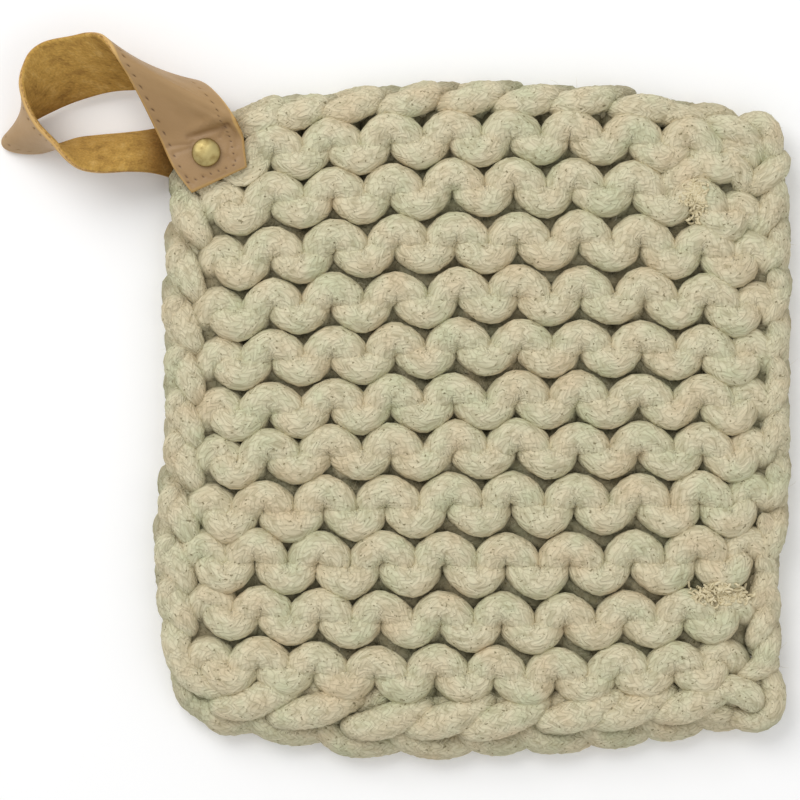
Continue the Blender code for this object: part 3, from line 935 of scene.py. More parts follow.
@dataclass
class GarterStitch:
    """The rows of stitches: eleven ridges, each a course of heads and a course of feet."""

    cord: Cord
    corner: PinchedCorner
    swing: float = 8.35
    foot_drop: float = 8.9
    raised: float = -0.1
    depth: float = 4.0
    lean: float = 2.1
    lean_uneven: float = 0.5
    shoulder: float = 0.3       # how much farther out a loop bulges at its arms than at its tip
    head_dive: float = 0.16     # of a loop's height, where its arms go under their neighbours
    foot_dive: float = 0.42
    dive_rate: float = 2.1
    deepest: float = -0.85      # of its height above the middle, how far a loop goes below it
    samples: int = 120          # points for each stitch
    first_turn: float = -1.45
    last_turn: float = 8.5
    first_full_turn: float = -0.5
    last_full_turn: float = 7.5
    left_squeeze: float = 0.65  # outside these the courses crowd up to the edges
    right_squeeze: float = 0.55
    edge_sink: float = 2.6      # and their turns lie this much deeper,
    sink_lag: float = 0.2       # starting late by this share
    sink_turns: float = 0.35    # of these stitches,
    edge_tuck: float = 3.2      # and deeper again where they go behind the chains,
    tuck_start: float = 0.62    # from this many stitches out
    tuck_turns: float = 0.25    # and over this many,
    floor_press: float = 0.2    # though the floor flattens them no more than this
    even_gap: float = 16.8      # ridges farther apart than this have longer feet,
    foot_growth: float = 0.9    # by this share of the rest,
    least_growth: float = -0.4  # and closer ones have shorter feet, down to this
    top_reach: float = 2.6      # the top ridge's feet turn back this far above its heads
    unevenness: float = 0.6
    swelling: float = 0.16      # the cord is this much thicker or thinner,
    swelling_rate: float = 1.7  # and changes this much faster than its place does
    # how strong the painted shade in the crevices between the rows is
    shade: float = 0.8
    pieces: int = 4

    def course(self, ridge: Ridge, gap: float, loops: Loops,
               rng: np.random.Generator) -> np.ndarray:
        """Work out one course of cord.

        Args:
            ridge: the ridge that it belongs to.
            gap: how far below it the next ridge lies.
            loops: which of its loops come to the front.
            rng: the seeded generator of its unevenness.

        Returns:
            Rows of x, y, z and radius.
        """
        turns = np.arange(self.first_turn, self.last_turn, 1 / self.samples)
        angle = turns * TURN
        lean = self.lean + self.lean_uneven * np.sin(angle)
        before = np.minimum(turns - self.first_full_turn, 0)
        after = np.maximum(turns - self.last_full_turn, 0)
        placed = np.clip(turns, self.first_full_turn, self.last_full_turn)
        placed = placed + before * self.left_squeeze + after * self.right_squeeze
        x = ridge.first_head + ridge.pitch * placed
        x = x + lean * (np.sin(2 * angle) - self.shoulder * np.sin(4 * angle))
        heads = ridge.heads(x) + self.raised
        if loops is Loops.FEET:
            longer = max(gap - self.even_gap, self.least_growth) * self.foot_growth
            y = heads - self.foot_drop - longer + (self.swing + longer / 2) * (1 + np.cos(angle))
            if ridge is RIDGES[0]:
                y = np.minimum(y, heads + self.top_reach)
            z = MIDDLE_Z + self.depth * self._rise(-np.cos(angle), self.foot_dive)
        else:
            y = heads - self.swing * (1 - np.cos(angle))
            z = MIDDLE_Z + self.depth * self._rise(np.cos(angle), self.head_dive)
        past = np.maximum(-before, after)
        z = z - self.edge_sink * smooth_step(past / self.sink_turns - self.sink_lag)
        z = z - self.edge_tuck * smooth_step((past - self.tuck_start) / self.tuck_turns)
        z = np.maximum(z, self.cord.radius - self.floor_press)
        x = x + Wander(rng, self.unevenness).at(turns)
        y = y + Wander(rng, self.unevenness).at(turns)
        radius = self.cord.radius + Wander(rng, self.swelling).at(turns * self.swelling_rate)
        return np.column_stack([x, y, z, radius])

    def _rise(self, height: np.ndarray, dive: float) -> np.ndarray:
        """Work out how far a loop lies in front of the middle.

        Args:
            height: the place along the loop, from -1 at its foot to 1 at its tip.
            dive: the height at which it goes under.

        Returns:
            1 on the front and less than 0 on the back, with a quick dive between.
        """
        rise = np.tanh(self.dive_rate * (height - dive))
        return np.maximum(rise / math.tanh(self.dive_rate * (1 - dive)), self.deepest)

    def build(self, material: bpy.types.Material) -> list[bpy.types.Object]:
        """Build the rows as a few pieces, from the top down.

        Args:
            material: the cord's finish.

        Returns:
            The pieces.
        """
        rng = np.random.default_rng(SEED)
        groups = [MeshParts(f"knit_rows_{number + 1}", "cord") for number in range(self.pieces)]
        crowns = [ridge.crown for ridge in RIDGES]
        gaps = [*np.subtract(crowns[:-1], crowns[1:]), self.even_gap]
        for index, (ridge, gap) in enumerate(zip(RIDGES, gaps)):
            parts = groups[index * self.pieces // len(RIDGES)]
            for loops in Loops:
                path = self.course(ridge, gap, loops, rng)
                self.cord.sweep(parts, path, rng, self.corner, self.shade)
        return [parts.build([material]) for parts in groups]


@dataclass(frozen=True)
class Link:
    """One shape of edge link: points across, up and out from its front end, with its radii."""

    points: tuple[tuple[float, float, float, float], ...]
    places: tuple[tuple[float, float], ...]     # its front ends in the plan, read off the photo
    lengths: tuple[float, ...] = ()             # where they differ, how long each is,
    rises: tuple[float, ...] = ()               # and how steeply it climbs

    UNEVENNESS = 0.35
    SWELLING = 0.12

    def paths(self, rng: np.random.Generator) -> list[np.ndarray]:
        """Draw every link.

        Args:
            rng: the seeded generator of their unevenness.

        Returns:
            Rows of x, y, z and radius for each.
        """
        made = []
        for number, place in enumerate(self.places):
            shape = np.array(self.points, dtype=float)
            if self.lengths:
                shape[:, 0] *= self.lengths[number]
            if self.rises:
                shape[:, 1] *= self.rises[number]
            shape[:, :2] += rng.uniform(-self.UNEVENNESS, self.UNEVENNESS, (len(shape), 2))
            shape[:, 3] += rng.uniform(-self.SWELLING, self.SWELLING)
            made.append(rounded_path(shape + np.array((*place, 0.0, 0.0))))
        return made


def rounded_path(points: np.ndarray) -> np.ndarray:
    """Draw a link or strand smoothly through its rows of x, y, z and radius."""
    return smooth_path(points, len(points) * PATH_ROWS)


LEFT_LINK = Link(
    ((-3.6, 22.5, 3.4, 3.0), (-6.2, 18.4, 5.4, 3.6), (-5.2, 13.4, 8.0, 4.2),
     (-3.0, 8.2, 10.0, 4.6), (-1.2, 3.6, 10.8, 4.5), (0.2, 0.0, 10.4, 3.8), (1.7, -2.8, 6.4, 2.9)),
    ((-60.5, 66.0), (-61.9, 49.2), (-63.6, 32.2), (-64.4, 15.9), (-63.6, 0.0), (-63.9, -13.8),
     (-63.9, -27.3), (-65.8, -44.3), (-67.0, -59.4), (-66.4, -72.6)))
RIGHT_LINK = Link(
    ((1.0, 19.6, 3.2, 2.8), (2.5, 15.2, 5.4, 3.4), (2.6, 10.0, 8.4, 3.9), (1.4, 4.8, 10.2, 4.1),
     (-0.6, 0.0, 10.2, 3.6), (-2.0, -2.8, 6.0, 2.8)),
    ((115.8, 54.9), (117.3, 41.1), (117.6, 24.8), (117.2, 12.2), (117.3, -4.1), (117.2, -15.4),
     (117.5, -33.0), (116.9, -49.3), (114.0, -64.8), (113.4, -76.4), (114.4, -86.0)))
TOP_LINK = Link(
    ((-2.6, -2.2, 6.0, 3.0), (0.0, 0.0, 10.4, 3.8), (5.0, 0.9, 11.6, 4.6), (10.5, 2.8, 11.0, 4.5),
     (16.0, 5.2, 8.6, 3.9), (20.5, 6.4, 6.0, 3.4), (25.0, 5.6, 3.4, 2.8)),
    ((-47.6, 83.9), (-38.6, 86.0), (-21.3, 88.4), (-3.2, 90.0), (16.0, 91.2), (33.3, 90.4),
     (51.0, 90.9), (69.6, 89.8)),
    (0.8, 1.0, 1.0, 1.0, 1.0, 1.0, 1.0, 1.05), (1.1, 0.85, 0.9, 0.85, 0.7, 0.62, 0.45, -0.15))
BOTTOM_FRONT_LINK = Link(
    ((-3.6, 1.8, 6.0, 3.0), (0.0, 0.2, 9.6, 4.1), (7.0, 1.4, 11.0, 5.3), (14.0, 4.2, 11.2, 5.3),
     (20.6, 7.2, 9.6, 4.5), (25.4, 9.0, 6.0, 3.3)),
    ((-55.1, -98.0), (-36.9, -101.6), (-13.6, -104.8), (5.5, -104.6), (22.8, -105.0),
     (47.0, -103.0), (62.7, -102.2), (81.8, -100.2)),
    (1.0, 1.05, 1.0, 1.0, 1.0, 1.0, 1.0, 1.0), (0.7, 0.75, 0.85, 1.0, 1.0, 1.0, 1.0, 1.0))
BOTTOM_BACK_LINK = Link(
    ((-0.10, 13.0, 6.0, 3.4), (0.04, 8.0, 6.6, 4.2), (0.30, 5.0, 5.6, 4.4),
     (0.65, 4.4, 5.0, 4.3), (0.98, 5.8, 4.4, 4.0), (1.15, 9.0, 4.0, 3.2)),
    ((-59.5, -107.8), (-44.1, -111.2), (-22.8, -115.0), (-0.1, -115.3), (21.5, -114.3),
     (39.7, -114.0), (58.3, -111.9), (77.1, -109.6), (93.4, -106.6)),
    (15.4, 21.3, 22.7, 21.6, 18.2, 18.6, 18.8, 16.3, 14.5))
# Strands that turn three of the corners, each as x, y, z and radius in the plan.
CORNER_STRANDS = (
    ((-69.6, -68.8, 6.0, 3.8), (-69.6, -76.0, 9.0, 4.8), (-68.2, -82.8, 9.4, 4.9),
     (-64.6, -88.6, 9.6, 4.6), (-58.4, -92.0, 9.6, 4.3), (-52.6, -93.2, 8.4, 3.8),
     (-47.6, -92.4, 6.0, 3.0)),
    ((-68.6, -84.0, 4.4, 3.2), (-67.8, -90.0, 5.2, 3.8), (-65.6, -95.6, 5.4, 3.9),
     (-60.8, -99.6, 5.4, 3.9), (-55.6, -102.4, 5.0, 3.7), (-51.6, -102.0, 4.4, 3.2)),
    ((-66.8, -91.0, 5.0, 2.8), (-66.4, -94.8, 7.2, 3.0), (-64.6, -98.2, 6.2, 2.8)),
    ((-61.8, -94.4, 5.0, 2.6), (-60.8, -98.4, 7.2, 2.8), (-59.2, -101.8, 6.2, 2.6)),
    ((-56.6, -98.0, 5.0, 2.6), (-55.2, -101.8, 6.8, 2.8), (-53.4, -104.8, 5.6, 2.6)),
    ((80.0, 86.0, 5.6, 3.0), (83.6, 87.6, 9.0, 3.6), (88.0, 87.6, 10.4, 3.8),
     (93.6, 86.0, 9.4, 3.6), (98.6, 83.0, 6.0, 3.0)),
    ((88.0, 86.6, 5.0, 3.2), (93.6, 88.0, 7.4, 3.5), (99.8, 88.0, 7.4, 3.6),
     (104.8, 85.8, 6.4, 3.4), (107.8, 82.2, 4.6, 3.0)),
    ((96.6, 84.4, 7.0, 3.2), (100.8, 83.8, 11.4, 4.0), (105.4, 82.8, 12.0, 4.3),
     (110.2, 80.4, 10.8, 4.1), (113.4, 77.4, 6.0, 3.4)),
    ((101.6, 75.0, 6.0, 3.3), (104.6, 76.8, 10.4, 3.7), (108.4, 76.4, 10.8, 3.7),
     (111.8, 73.6, 6.6, 3.2)),
    ((105.6, 81.8, 6.4, 3.0), (109.4, 84.6, 9.0, 3.4), (114.4, 85.2, 10.4, 3.7),
     (117.6, 81.2, 10.6, 3.6), (117.6, 75.4, 9.6, 3.4), (115.8, 70.6, 6.6, 2.9)),
    ((109.6, 82.4, 7.4, 2.6), (112.4, 80.4, 10.0, 2.8), (113.8, 75.8, 10.2, 2.8),
     (113.6, 71.0, 7.4, 2.6)),
    ((110.4, 64.0, 5.6, 3.3), (113.2, 66.2, 10.4, 4.1), (117.0, 69.0, 12.0, 4.5),
     (119.8, 72.4, 10.2, 3.9), (120.2, 76.4, 6.0, 3.0)),
    ((119.2, 67.4, 5.0, 3.2), (118.6, 62.4, 8.4, 3.8), (116.8, 57.0, 9.8, 4.1),
     (114.8, 52.4, 9.6, 3.7), (113.2, 49.6, 6.0, 3.0)),
    ((82.4, 61.4, 6.0, 3.2), (85.4, 65.6, 10.4, 4.6), (90.0, 69.4, 11.4, 5.0),
     (95.0, 70.6, 10.4, 4.6), (98.6, 69.0, 6.6, 3.4)),
    ((96.4, 71.8, 7.0, 3.2), (101.2, 72.4, 11.4, 4.0), (106.0, 70.8, 12.2, 4.3),
     (108.6, 67.0, 11.0, 3.9), (107.4, 63.2, 7.0, 3.0)),
    ((106.8, -90.0, 5.6, 2.9), (109.8, -87.8, 9.4, 3.5), (113.4, -86.4, 10.6, 3.6),
     (116.8, -85.0, 9.0, 3.4), (118.4, -82.6, 5.4, 2.8)),
    ((97.6, -90.6, 6.0, 3.4), (101.8, -92.2, 9.8, 4.3), (106.6, -93.0, 11.4, 4.7),
     (110.8, -95.2, 11.0, 4.6), (112.4, -99.2, 7.0, 3.6)),
    ((114.6, -84.6, 5.4, 3.2), (117.2, -89.4, 8.0, 3.8), (118.4, -95.0, 9.0, 4.1),
     (117.2, -99.8, 8.8, 4.2), (113.0, -102.6, 8.0, 4.0), (107.8, -102.0, 7.0, 3.8),
     (103.4, -99.4, 5.0, 3.2)),
    ((93.0, -97.6, 5.6, 3.0), (97.0, -99.4, 8.6, 3.5), (101.6, -100.4, 8.8, 3.5),
     (106.0, -99.4, 6.0, 3.0)),
)

# The chain of each side, and which way the knit lies from it.
SIDES = ((LEFT_LINK, (1, 0)), (RIGHT_LINK, (-1, 0)), (TOP_LINK, (0, -1)),
         (BOTTOM_FRONT_LINK, (0, 1)))


@dataclass
class EdgeChains:
    """The chains along the cast-on and cast-off edges and the two selvedges."""

    cord: Cord
    corner: PinchedCorner
    # how strong the painted shade in the crevices between the links is
    shade: float = 0.42
    corner_shade: float = 0.2   # the corners' strands lie more in the open and get less painted shade,
    back_shade: float = 0.16    # and so do the links of the back
    drawn_in: float = 0.4       # the back's links lie this much farther in than the front's,
    staggered: float = 7.5      # and this much farther along

    def build(self, material: bpy.types.Material) -> bpy.types.Object:
        """Build every chain as one piece.

        Args:
            material: the cord's finish.

        Returns:
            The piece.
        """
        rng = np.random.default_rng(SEED + 1)
        parts = MeshParts("knit_edges", "cord")
        fronts = [path for link, _ in SIDES for path in link.paths(rng)]
        corners = [rounded_path(np.array(points)) for points in CORNER_STRANDS]
        backs = BOTTOM_BACK_LINK.paths(rng)
        backs += [self._behind(path, inward) for link, inward in SIDES for path in link.paths(rng)]
        for paths, shade in ((fronts, self.shade), (corners, self.corner_shade),
                             (backs, self.back_shade)):
            for path in paths:
                self.cord.sweep(parts, path, rng, self.corner, shade)
        return parts.build([material])

    def _behind(self, path: np.ndarray, inward: tuple[int, int]) -> np.ndarray:
        """Turn a front link into its partner on the back.

        Args:
            path: the front link's x, y, z and radius rows.
            inward: the direction of the knit from the link's side.

        Returns:
            The same link seen from behind, a little farther in and half a link along.
        """
        onward = np.array((inward[1], -inward[0]))
        plan = path[:, :2] + np.array(inward) * self.drawn_in + onward * self.staggered
        return np.column_stack([plan, 2 * MIDDLE_Z - path[:, 2], path[:, 3]])


# ---- Loose fibre -----------------------------------------------------------------------------
def cord_surface(cords: Iterable[bpy.types.Object]) -> tuple[np.ndarray, np.ndarray]:
    """Read the surface of finished cords.

    Args:
        cords: the knit's pieces.

    Returns:
        Their points, in millimetres of the plan, and the normals there.
    """
    places, normals = [], []
    for cord in cords:
        for name, rows in (("co", places), ("normal", normals)):
            values = np.empty(len(cord.data.vertices) * 3)
            cord.data.vertices.foreach_get(name, values)
            rows.append(values.reshape(-1, 3))
    return np.concatenate(places) / MM - CENTRE_SHIFT, np.concatenate(normals)


def add_thread(parts: MeshParts, path: np.ndarray, radius: np.ndarray, sides: int) -> None:
    """Add one closed thread.

    Args:
        parts: the mesh that it goes into.
        path: x, y, z rows.
        radius: its radius at each of them.
        sides: how many sides it has.
    """
    angle = np.arange(sides) / sides * TURN
    verts = tube_rings(path, radius[:, None], angle, SLANT).reshape(-1, 3)
    verts[:, 2] = np.maximum(verts[:, 2], FLOOR_Z)
    along = np.arange(len(path)) / len(path)
    parts.add_tube(verts, sides, along, np.zeros((len(verts), 3)))


@dataclass
class StrayFibres:
    """Single cotton fibres that stand off the cord."""

    count: int = 2300
    length: tuple[float, float] = (1.4, 3.6)
    radius: float = 0.045
    thinning: float = 0.7       # how much thinner the tip is
    rings: int = 6
    sides: int = 3
    lowest_root: float = 7.0    # they root on the front, above this,
    least_upward: float = -0.2  # and not where the cord faces farther down than this
    root_depth: float = 0.2
    upright: float = 0.5        # how strongly they stand straight up from the cord,
    scatter: float = 0.55       # against how far they lean at random
    bend: float = 0.3
    droop: float = 0.2

    def build(self, surface: tuple[np.ndarray, np.ndarray],
              material: bpy.types.Material) -> bpy.types.Object:
        """Root fibres at random places of the finished cords.

        Args:
            surface: the cords' points and normals.
            material: their finish.

        Returns:
            The piece.
        """
        rng = np.random.default_rng(SEED + 2)
        place, normal = surface
        outer = (place[:, 2] > self.lowest_root) & (normal[:, 2] > self.least_upward)
        rooted = rng.choice(np.flatnonzero(outer), self.count, replace=False)
        run = np.linspace(0, 1, self.rings)[:, None]
        radius = self.radius * (1 - self.thinning * run[:, 0])
        parts = MeshParts("loose_fibres", "fibre")
        for start, outward in zip(place[rooted], normal[rooted]):
            heading = unit(outward * self.upright + rng.normal(0, self.scatter, 3))
            length = rng.uniform(*self.length)
            bend = rng.normal(0, self.bend, 3) - (0, 0, self.droop)
            path = start - outward * self.root_depth + length * (heading * run + bend * run ** 2)
            add_thread(parts, path, radius, self.sides)
        return parts.build([material])


@dataclass(frozen=True)
class Tuft:
    """A patch where the cord frays into curls: its place in the plan, reach and number."""

    place: tuple[float, float]
    reach: tuple[float, float]
    curls: int


@dataclass
class FrayedStrands:
    """Short lengths of split strand that curl over the frayed patches."""

    tufts: tuple[Tuft, ...] = (Tuft((93.4, 60.6), (3.4, 5.2), 150),
                               Tuft((101.2, -62.6), (7.6, 2.6), 300))
    radius: tuple[float, float] = (0.3, 0.52)
    tip: float = 0.05           # the square of the share of the radius that stays at its ends
    size: tuple[float, float] = (0.5, 0.9)
    half_turn: tuple[float, float] = (0.8, 2.0)     # radians each way from a curl's middle
    rings: int = 11
    sides: int = 5
    spread: float = 0.5         # of a patch's reach, how far most curls lie from its middle,
    most_spread: float = 1.3    # and how far any does
    drift: float = 0.6
    flatness: float = 0.2       # of its reach across, how high a curl stands
    dip_rate: float = 1.4       # how fast it dips and rises as it turns
    sink: float = 0.25          # how deep its middle lies in the highest cord that is
    footing: float = 1.3        # as near as this

    def build(self, surface: tuple[np.ndarray, np.ndarray],
              material: bpy.types.Material) -> bpy.types.Object:
        """Curl strands over each frayed patch, on top of the cords.

        Args:
            surface: the cords' points and normals.
            material: the curls' finish.

        Returns:
            The piece.
        """
        rng = np.random.default_rng(SEED + 3)
        parts = MeshParts("frayed_strands", "fibre")
        run = np.linspace(-1, 1, self.rings)
        taper = np.sqrt(np.clip(1 - run ** 4, self.tip, 1))
        for tuft in self.tufts:
            reach = np.array(tuft.reach)
            margin = reach * self.most_spread + self.footing
            near = surface[0][(np.abs(surface[0][:, :2] - tuft.place) < margin).all(axis=1)]
            for _ in range(tuft.curls):
                aside = np.clip(rng.normal(0, self.spread, 2), -self.most_spread, self.most_spread)
                spot = tuft.place + reach * aside
                under = near[np.hypot(*(near[:, :2] - spot).T) < self.footing]
                middle = np.array((*spot, under[:, 2].max() - self.sink))
                turn = rng.uniform(0, TURN) + rng.uniform(*self.half_turn) * run
                size = rng.uniform(*self.size)
                drift = run[:, None] * rng.normal(0, self.drift, 3) * (1, 1, self.flatness)
                dip = self.flatness * np.sin(turn * self.dip_rate)
                curl = np.column_stack([np.cos(turn), np.sin(turn), dip])
                radius = rng.uniform(*self.radius)
                add_thread(parts, middle + curl * size + drift, radius * taper, self.sides)
        return parts.build([material])


# ---- Strap -----------------------------------------------------------------------------------
@dataclass
class HangingLoop:
    """The leather strip: one ribbon drawn through cross-lines, with holes, creases, wear and painted
    shade.
    """

    thickness: float = 1.8
    length: float = 185.0
    width: float = 24.5
    samples: int = 1200
    along_step: float = 0.45
    across_strips: int = 56
    rim_radius: float = 0.45    # the cut edges are rounded this far in
    rim_least: float = 0.12     # the square of the share of the thickness that stays at the cut
    cut_start: float = 0.35     # the paler cut shows this far in,
    cut_fade: float = 0.5       # and fades over this much
    hole_pitch: float = 3.0
    left_inset: float = 2.1     # from the cut edges in to the needle holes
    right_inset: float = 3.9
    end_inset: float = 3.0
    inset_margin: float = 1.0   # the end's row of holes reaches this far past the sides' rows
    hole_radius: float = 0.5
    hole_depth: float = 0.6
    flesh_share: float = 0.6    # of that depth, on the flesh side
    hole_shade_rate: float = 1.6      # how fast the painted shade in a hole grows as it gets deeper
    front_run: float = 46.0     # of its length lies on the front, from the cut end on
    worn_run: float = 32.0      # and this much is darker with wear,
    worn_fade: float = 14.0     # fading over this much
    worn_share: float = 0.3     # how dark the wear is,
    crease_shade_share: float = 0.7   # and how strong the painted shade in a crease is
    deepest_crease: float = 0.9
    shaded_run: float = 60.0    # while this much at its other end lies on the table
    low_shade: float = 0.6       # how strong the painted shade on the flesh side is low in the loop,
    low_z: float = 9.0          # below this height
    low_x: float = -34.0        # and left of this,
    beside_shade: float = 0.75   # and in the painted shadow next to the front end,
    beside_x: float = -24.0     # right of this
    loop_shade_fade: float = 8.0
    off_row: float = 9.0        # a distance from the needle holes that is as good as none

    # Creases of the grain side by the rivet: points from its axis, then depth and half width.
    CREASES = (
        (((-5.6, 4.9), (0.4, 6.7), (4.0, 7.7), (6.8, 9.0)), 0.6, 0.95),
        (((-4.0, 7.6), (0.6, 9.4), (6.0, 11.2)), -0.4, 1.5),
        (((-12.5, 1.6), (-10.0, 2.3), (-4.8, 2.8), (-4.2, 3.6)), 0.4, 0.5),
        (((-10.4, -0.2), (-6.4, 1.0), (-4.6, 1.6)), 0.35, 0.5),
        (((4.2, 5.0), (5.0, 6.6), (5.7, 8.4)), 0.4, 0.5),
        (((6.8, 9.0), (8.8, 6.6), (9.4, 2.0)), 0.3, 0.6),
        (((6.6, 5.4), (7.4, 2.6), (6.8, -1.0)), 0.25, 0.5),
        (((-1.6, 8.8), (0.2, 10.8)), -0.25, 0.4), (((0.8, 9.2), (2.6, 11.4)), -0.3, 0.4),
        (((2.8, 9.4), (4.4, 11.6)), -0.3, 0.35), (((4.6, 9.6), (6.0, 11.4)), -0.28, 0.35),
        (((-9.6, -5.4), (-6.6, -7.2), (-4.4, -9.8)), 0.25, 0.8),
        (((5.6, -1.0), (8.0, -2.4), (9.6, -1.2)), 0.25, 0.8),
        (((-1.0, -7.4), (2.4, -8.2), (6.0, -6.4)), 0.22, 0.7),
    )

    # Left x, y, z and right x, y, z of each cross-line from the rivet's axis, and its cupping.
    LINES = (
        (-4.6, -12.6, 13.2, 12.7, -4.5, 13.2, 0.0), (-10.5, -4.5, 13.2, 12.1, 0.8, 13.2, 0.0),
        (-14.8, 4.8, 13.3, 11.7, 4.6, 13.2, 0.0), (-19.4, 14.6, 17.6, 10.9, 6.9, 14.6, 0.4),
        (-24.0, 23.6, 23.0, 10.0, 8.8, 16.6, 0.4), (-27.8, 29.5, 26.4, 8.8, 11.2, 18.2, 1.2),
        (-30.2, 33.4, 25.4, 4.6, 16.8, 16.8, 2.2), (-33.1, 36.0, 22.6, -1.2, 21.6, 12.0, 2.4),
        (-37.0, 36.8, 19.8, -8.8, 22.8, 7.4, 1.6), (-41.4, 36.1, 18.6, -17.4, 21.1, 5.2, 0.8),
        (-49.6, 34.2, 20.0, -28.5, 20.5, 4.6, 0.3), (-54.3, 31.0, 20.8, -36.8, 18.8, 4.0, 0.5),
        (-56.6, 26.2, 21.4, -45.1, 16.2, 3.0, 0.6), (-57.1, 21.3, 22.0, -53.5, 12.5, 2.0, 0.6),
        (-55.9, 16.3, 22.4, -60.5, 8.8, 1.4, 0.4), (-54.0, 12.0, 22.6, -64.6, 5.6, 1.2, 0.2),
        (-51.7, 8.2, 22.8, -64.8, 3.0, 1.2, 0.2), (-49.2, 5.3, 23.0, -60.9, 1.5, 1.2, 0.4),
        (-46.4, 2.3, 23.2, -54.2, 1.3, 1.2, 0.6), (-43.0, -2.0, 23.2, -47.2, 3.2, 1.2, 0.8),
        (-38.7, -5.4, 22.6, -41.2, 5.1, 1.3, 1.0), (-32.7, -6.6, 21.4, -34.8, 5.9, 1.4, 1.4),
        (-24.1, -6.2, 18.4, -25.3, 6.7, 1.6, 2.2), (-18.0, -6.2, 13.4, -18.0, 7.8, 1.8, 2.0),
        (-13.1, -7.0, 7.6, -11.4, 9.8, 2.1, 0.9), (-8.0, -9.0, 3.8, -5.0, 11.6, 2.4, 0.2),
        (-2.4, -10.4, 2.6, 1.0, 11.9, 2.6, 0.0), (10.0, -10.6, 2.6, 11.5, 11.9, 2.6, 0.0),
    )

    def middle_surface(self) -> tuple[np.ndarray, np.ndarray, np.ndarray]:
        """Draw the ribbon's middle surface.

        Returns:
            Its grid of points, the distance run along it at each section and the distance
            across it at each point of a section.
        """
        rows = smooth_path(np.array(self.LINES, dtype=float), self.samples)
        lengths = run_lengths((rows[:, :3] + rows[:, 3:6]) / 2)
        sections = int(lengths[-1] / self.along_step)
        rows = respaced(rows, lengths, sections)
        left, right, cupping = rows[:, :3], rows[:, 3:6], rows[:, 6]
        facing = unit(np.cross(right - left, np.gradient((left + right) / 2, axis=0)))
        share = np.linspace(0, 1, self.across_strips + 1)
        grid = left[:, None] * (1 - share)[None, :, None] + right[:, None] * share[None, :, None]
        bulge = cupping[:, None] * 4 * (share * (1 - share))[None, :]
        along = np.linspace(0, lengths[-1], sections) * self.length / lengths[-1]
        return grid - facing[:, None, :] * bulge[..., None], along, share * self.width

    def hole_depths(self, along: np.ndarray, across: np.ndarray) -> np.ndarray:
        """Find how deep the needle holes are over the ribbon.

        Args:
            along: the distance run at each section.
            across: the distance across at each point of a section.

        Returns:
            The share of their full depth, for each point of each section.
        """
        off_hole = ((along / self.hole_pitch) % 1 - 0.5)[:, None] * self.hole_pitch
        rows = [across - self.left_inset, self.width - self.right_inset - across]
        distance = np.minimum(*[np.hypot(row[None, :], off_hole) for row in rows])
        off_end = ((across / self.hole_pitch) % 1 - 0.5)[None, :] * self.hole_pitch
        end_row = np.hypot((along - self.end_inset)[:, None], off_end)
        inside = ((across > self.left_inset - self.inset_margin)
                  & (across < self.width - self.right_inset + self.inset_margin))
        distance = np.minimum(distance, np.where(inside[None, :], end_row, self.off_row))
        before = along[:, None] < self.end_inset - self.inset_margin
        return 1 - smooth_step(np.where(before, self.off_row, distance) / self.hole_radius)

    def crease_depths(self, grid: np.ndarray, along: np.ndarray) -> np.ndarray:
        """Find how far the creases by the rivet lower the grain side.

        Args:
            grid: the middle surface's points.
            along: the distance run at each section.

        Returns:
            The depth at each point, in millimetres.
        """
        plan, total = grid[..., :2], np.zeros(grid.shape[:2])
        for points, depth, half_width in self.CREASES:
            gaps = []
            for start, end in zip(points, points[1:]):
                run = np.subtract(end, start)
                share = np.clip((plan - start) @ run / (run @ run), 0, 1)
                gaps.append(np.linalg.norm(plan - start - share[..., None] * run, axis=2))
            total += depth * np.exp(-(np.min(gaps, axis=0) / half_width) ** 2)
        return total * (along < self.front_run)[:, None]

    def build(self, materials: Sequence[bpy.types.Material]) -> bpy.types.Object:
        """Build the strap.

        Args:
            materials: grain side, flesh side and cut edge.

        Returns:
            The piece.
        """
        grid, along, across = self.middle_surface()
        normal = unit(np.cross(np.gradient(grid, axis=1), np.gradient(grid, axis=0)))
        holes = self.hole_depths(along, across)
        creases = self.crease_depths(grid, along)
        rim = np.minimum(np.minimum(across, self.width - across)[None, :],
                         np.minimum(along, self.length - along)[:, None])
        half = self.thickness / 2 * rounded_end(rim / self.rim_radius, self.rim_least)
        tone = np.zeros((2, *rim.shape, 3))
        tone[..., 0] = 1 - smooth_step((rim - self.cut_start) / self.cut_fade)
        # Green: painted shade in the needle holes, stronger where they are deeper.
        tone[..., 1] = smooth_step(holes * self.hole_shade_rate)
        worn = self.worn_share * smooth_step((self.worn_run - along) / self.worn_fade)[:, None]
        # Blue on the grain side: wear by the cut end, and painted shade in the creases.
        tone[0, ..., 2] = worn + (1 - worn) * np.clip(creases, 0, 1) * self.crease_shade_share
        grid = grid - normal * np.minimum(creases, self.deepest_crease)[..., None]
        # Blue on the flesh side: painted shade low in the loop and painted shadow beside the front
        # end.
        tone[1, ..., 2] = self._painted_shade(grid, along)
        origin = np.array((*RIVET_AXIS, 0.0))
        depth = holes * self.hole_depth
        grain = grid + normal * (half - depth)[..., None] + origin
        flesh = grid - normal * (half - depth * self.flesh_share)[..., None] + origin
        parts = MeshParts("strap_leather", "leather")
        self._add_shell(parts, np.stack([grain, flesh]), tone, along, across)
        return parts.build(materials)

    def _painted_shade(self, grid: np.ndarray, along: np.ndarray) -> np.ndarray:
        """Find where shade is painted on the flesh side: low in the loop and beside the front end.

        Args:
            grid: the middle surface's points.
            along: the distance run at each section.

        Returns:
            How strong the painted shade is at each point, from 0 to 1.
        """
        # Painted shade inside the loop, low down, and the front end's painted shadow on the leg
        # beside it.
        low = (self.low_shade * smooth_step((self.low_z - grid[..., 2]) / self.low_z)
               * smooth_step((self.low_x - grid[..., 0]) / self.loop_shade_fade))
        beside = self.beside_shade * smooth_step((grid[..., 0] - self.beside_x) / self.loop_shade_fade)
        return np.where((along > self.length - self.shaded_run)[:, None], beside, low)

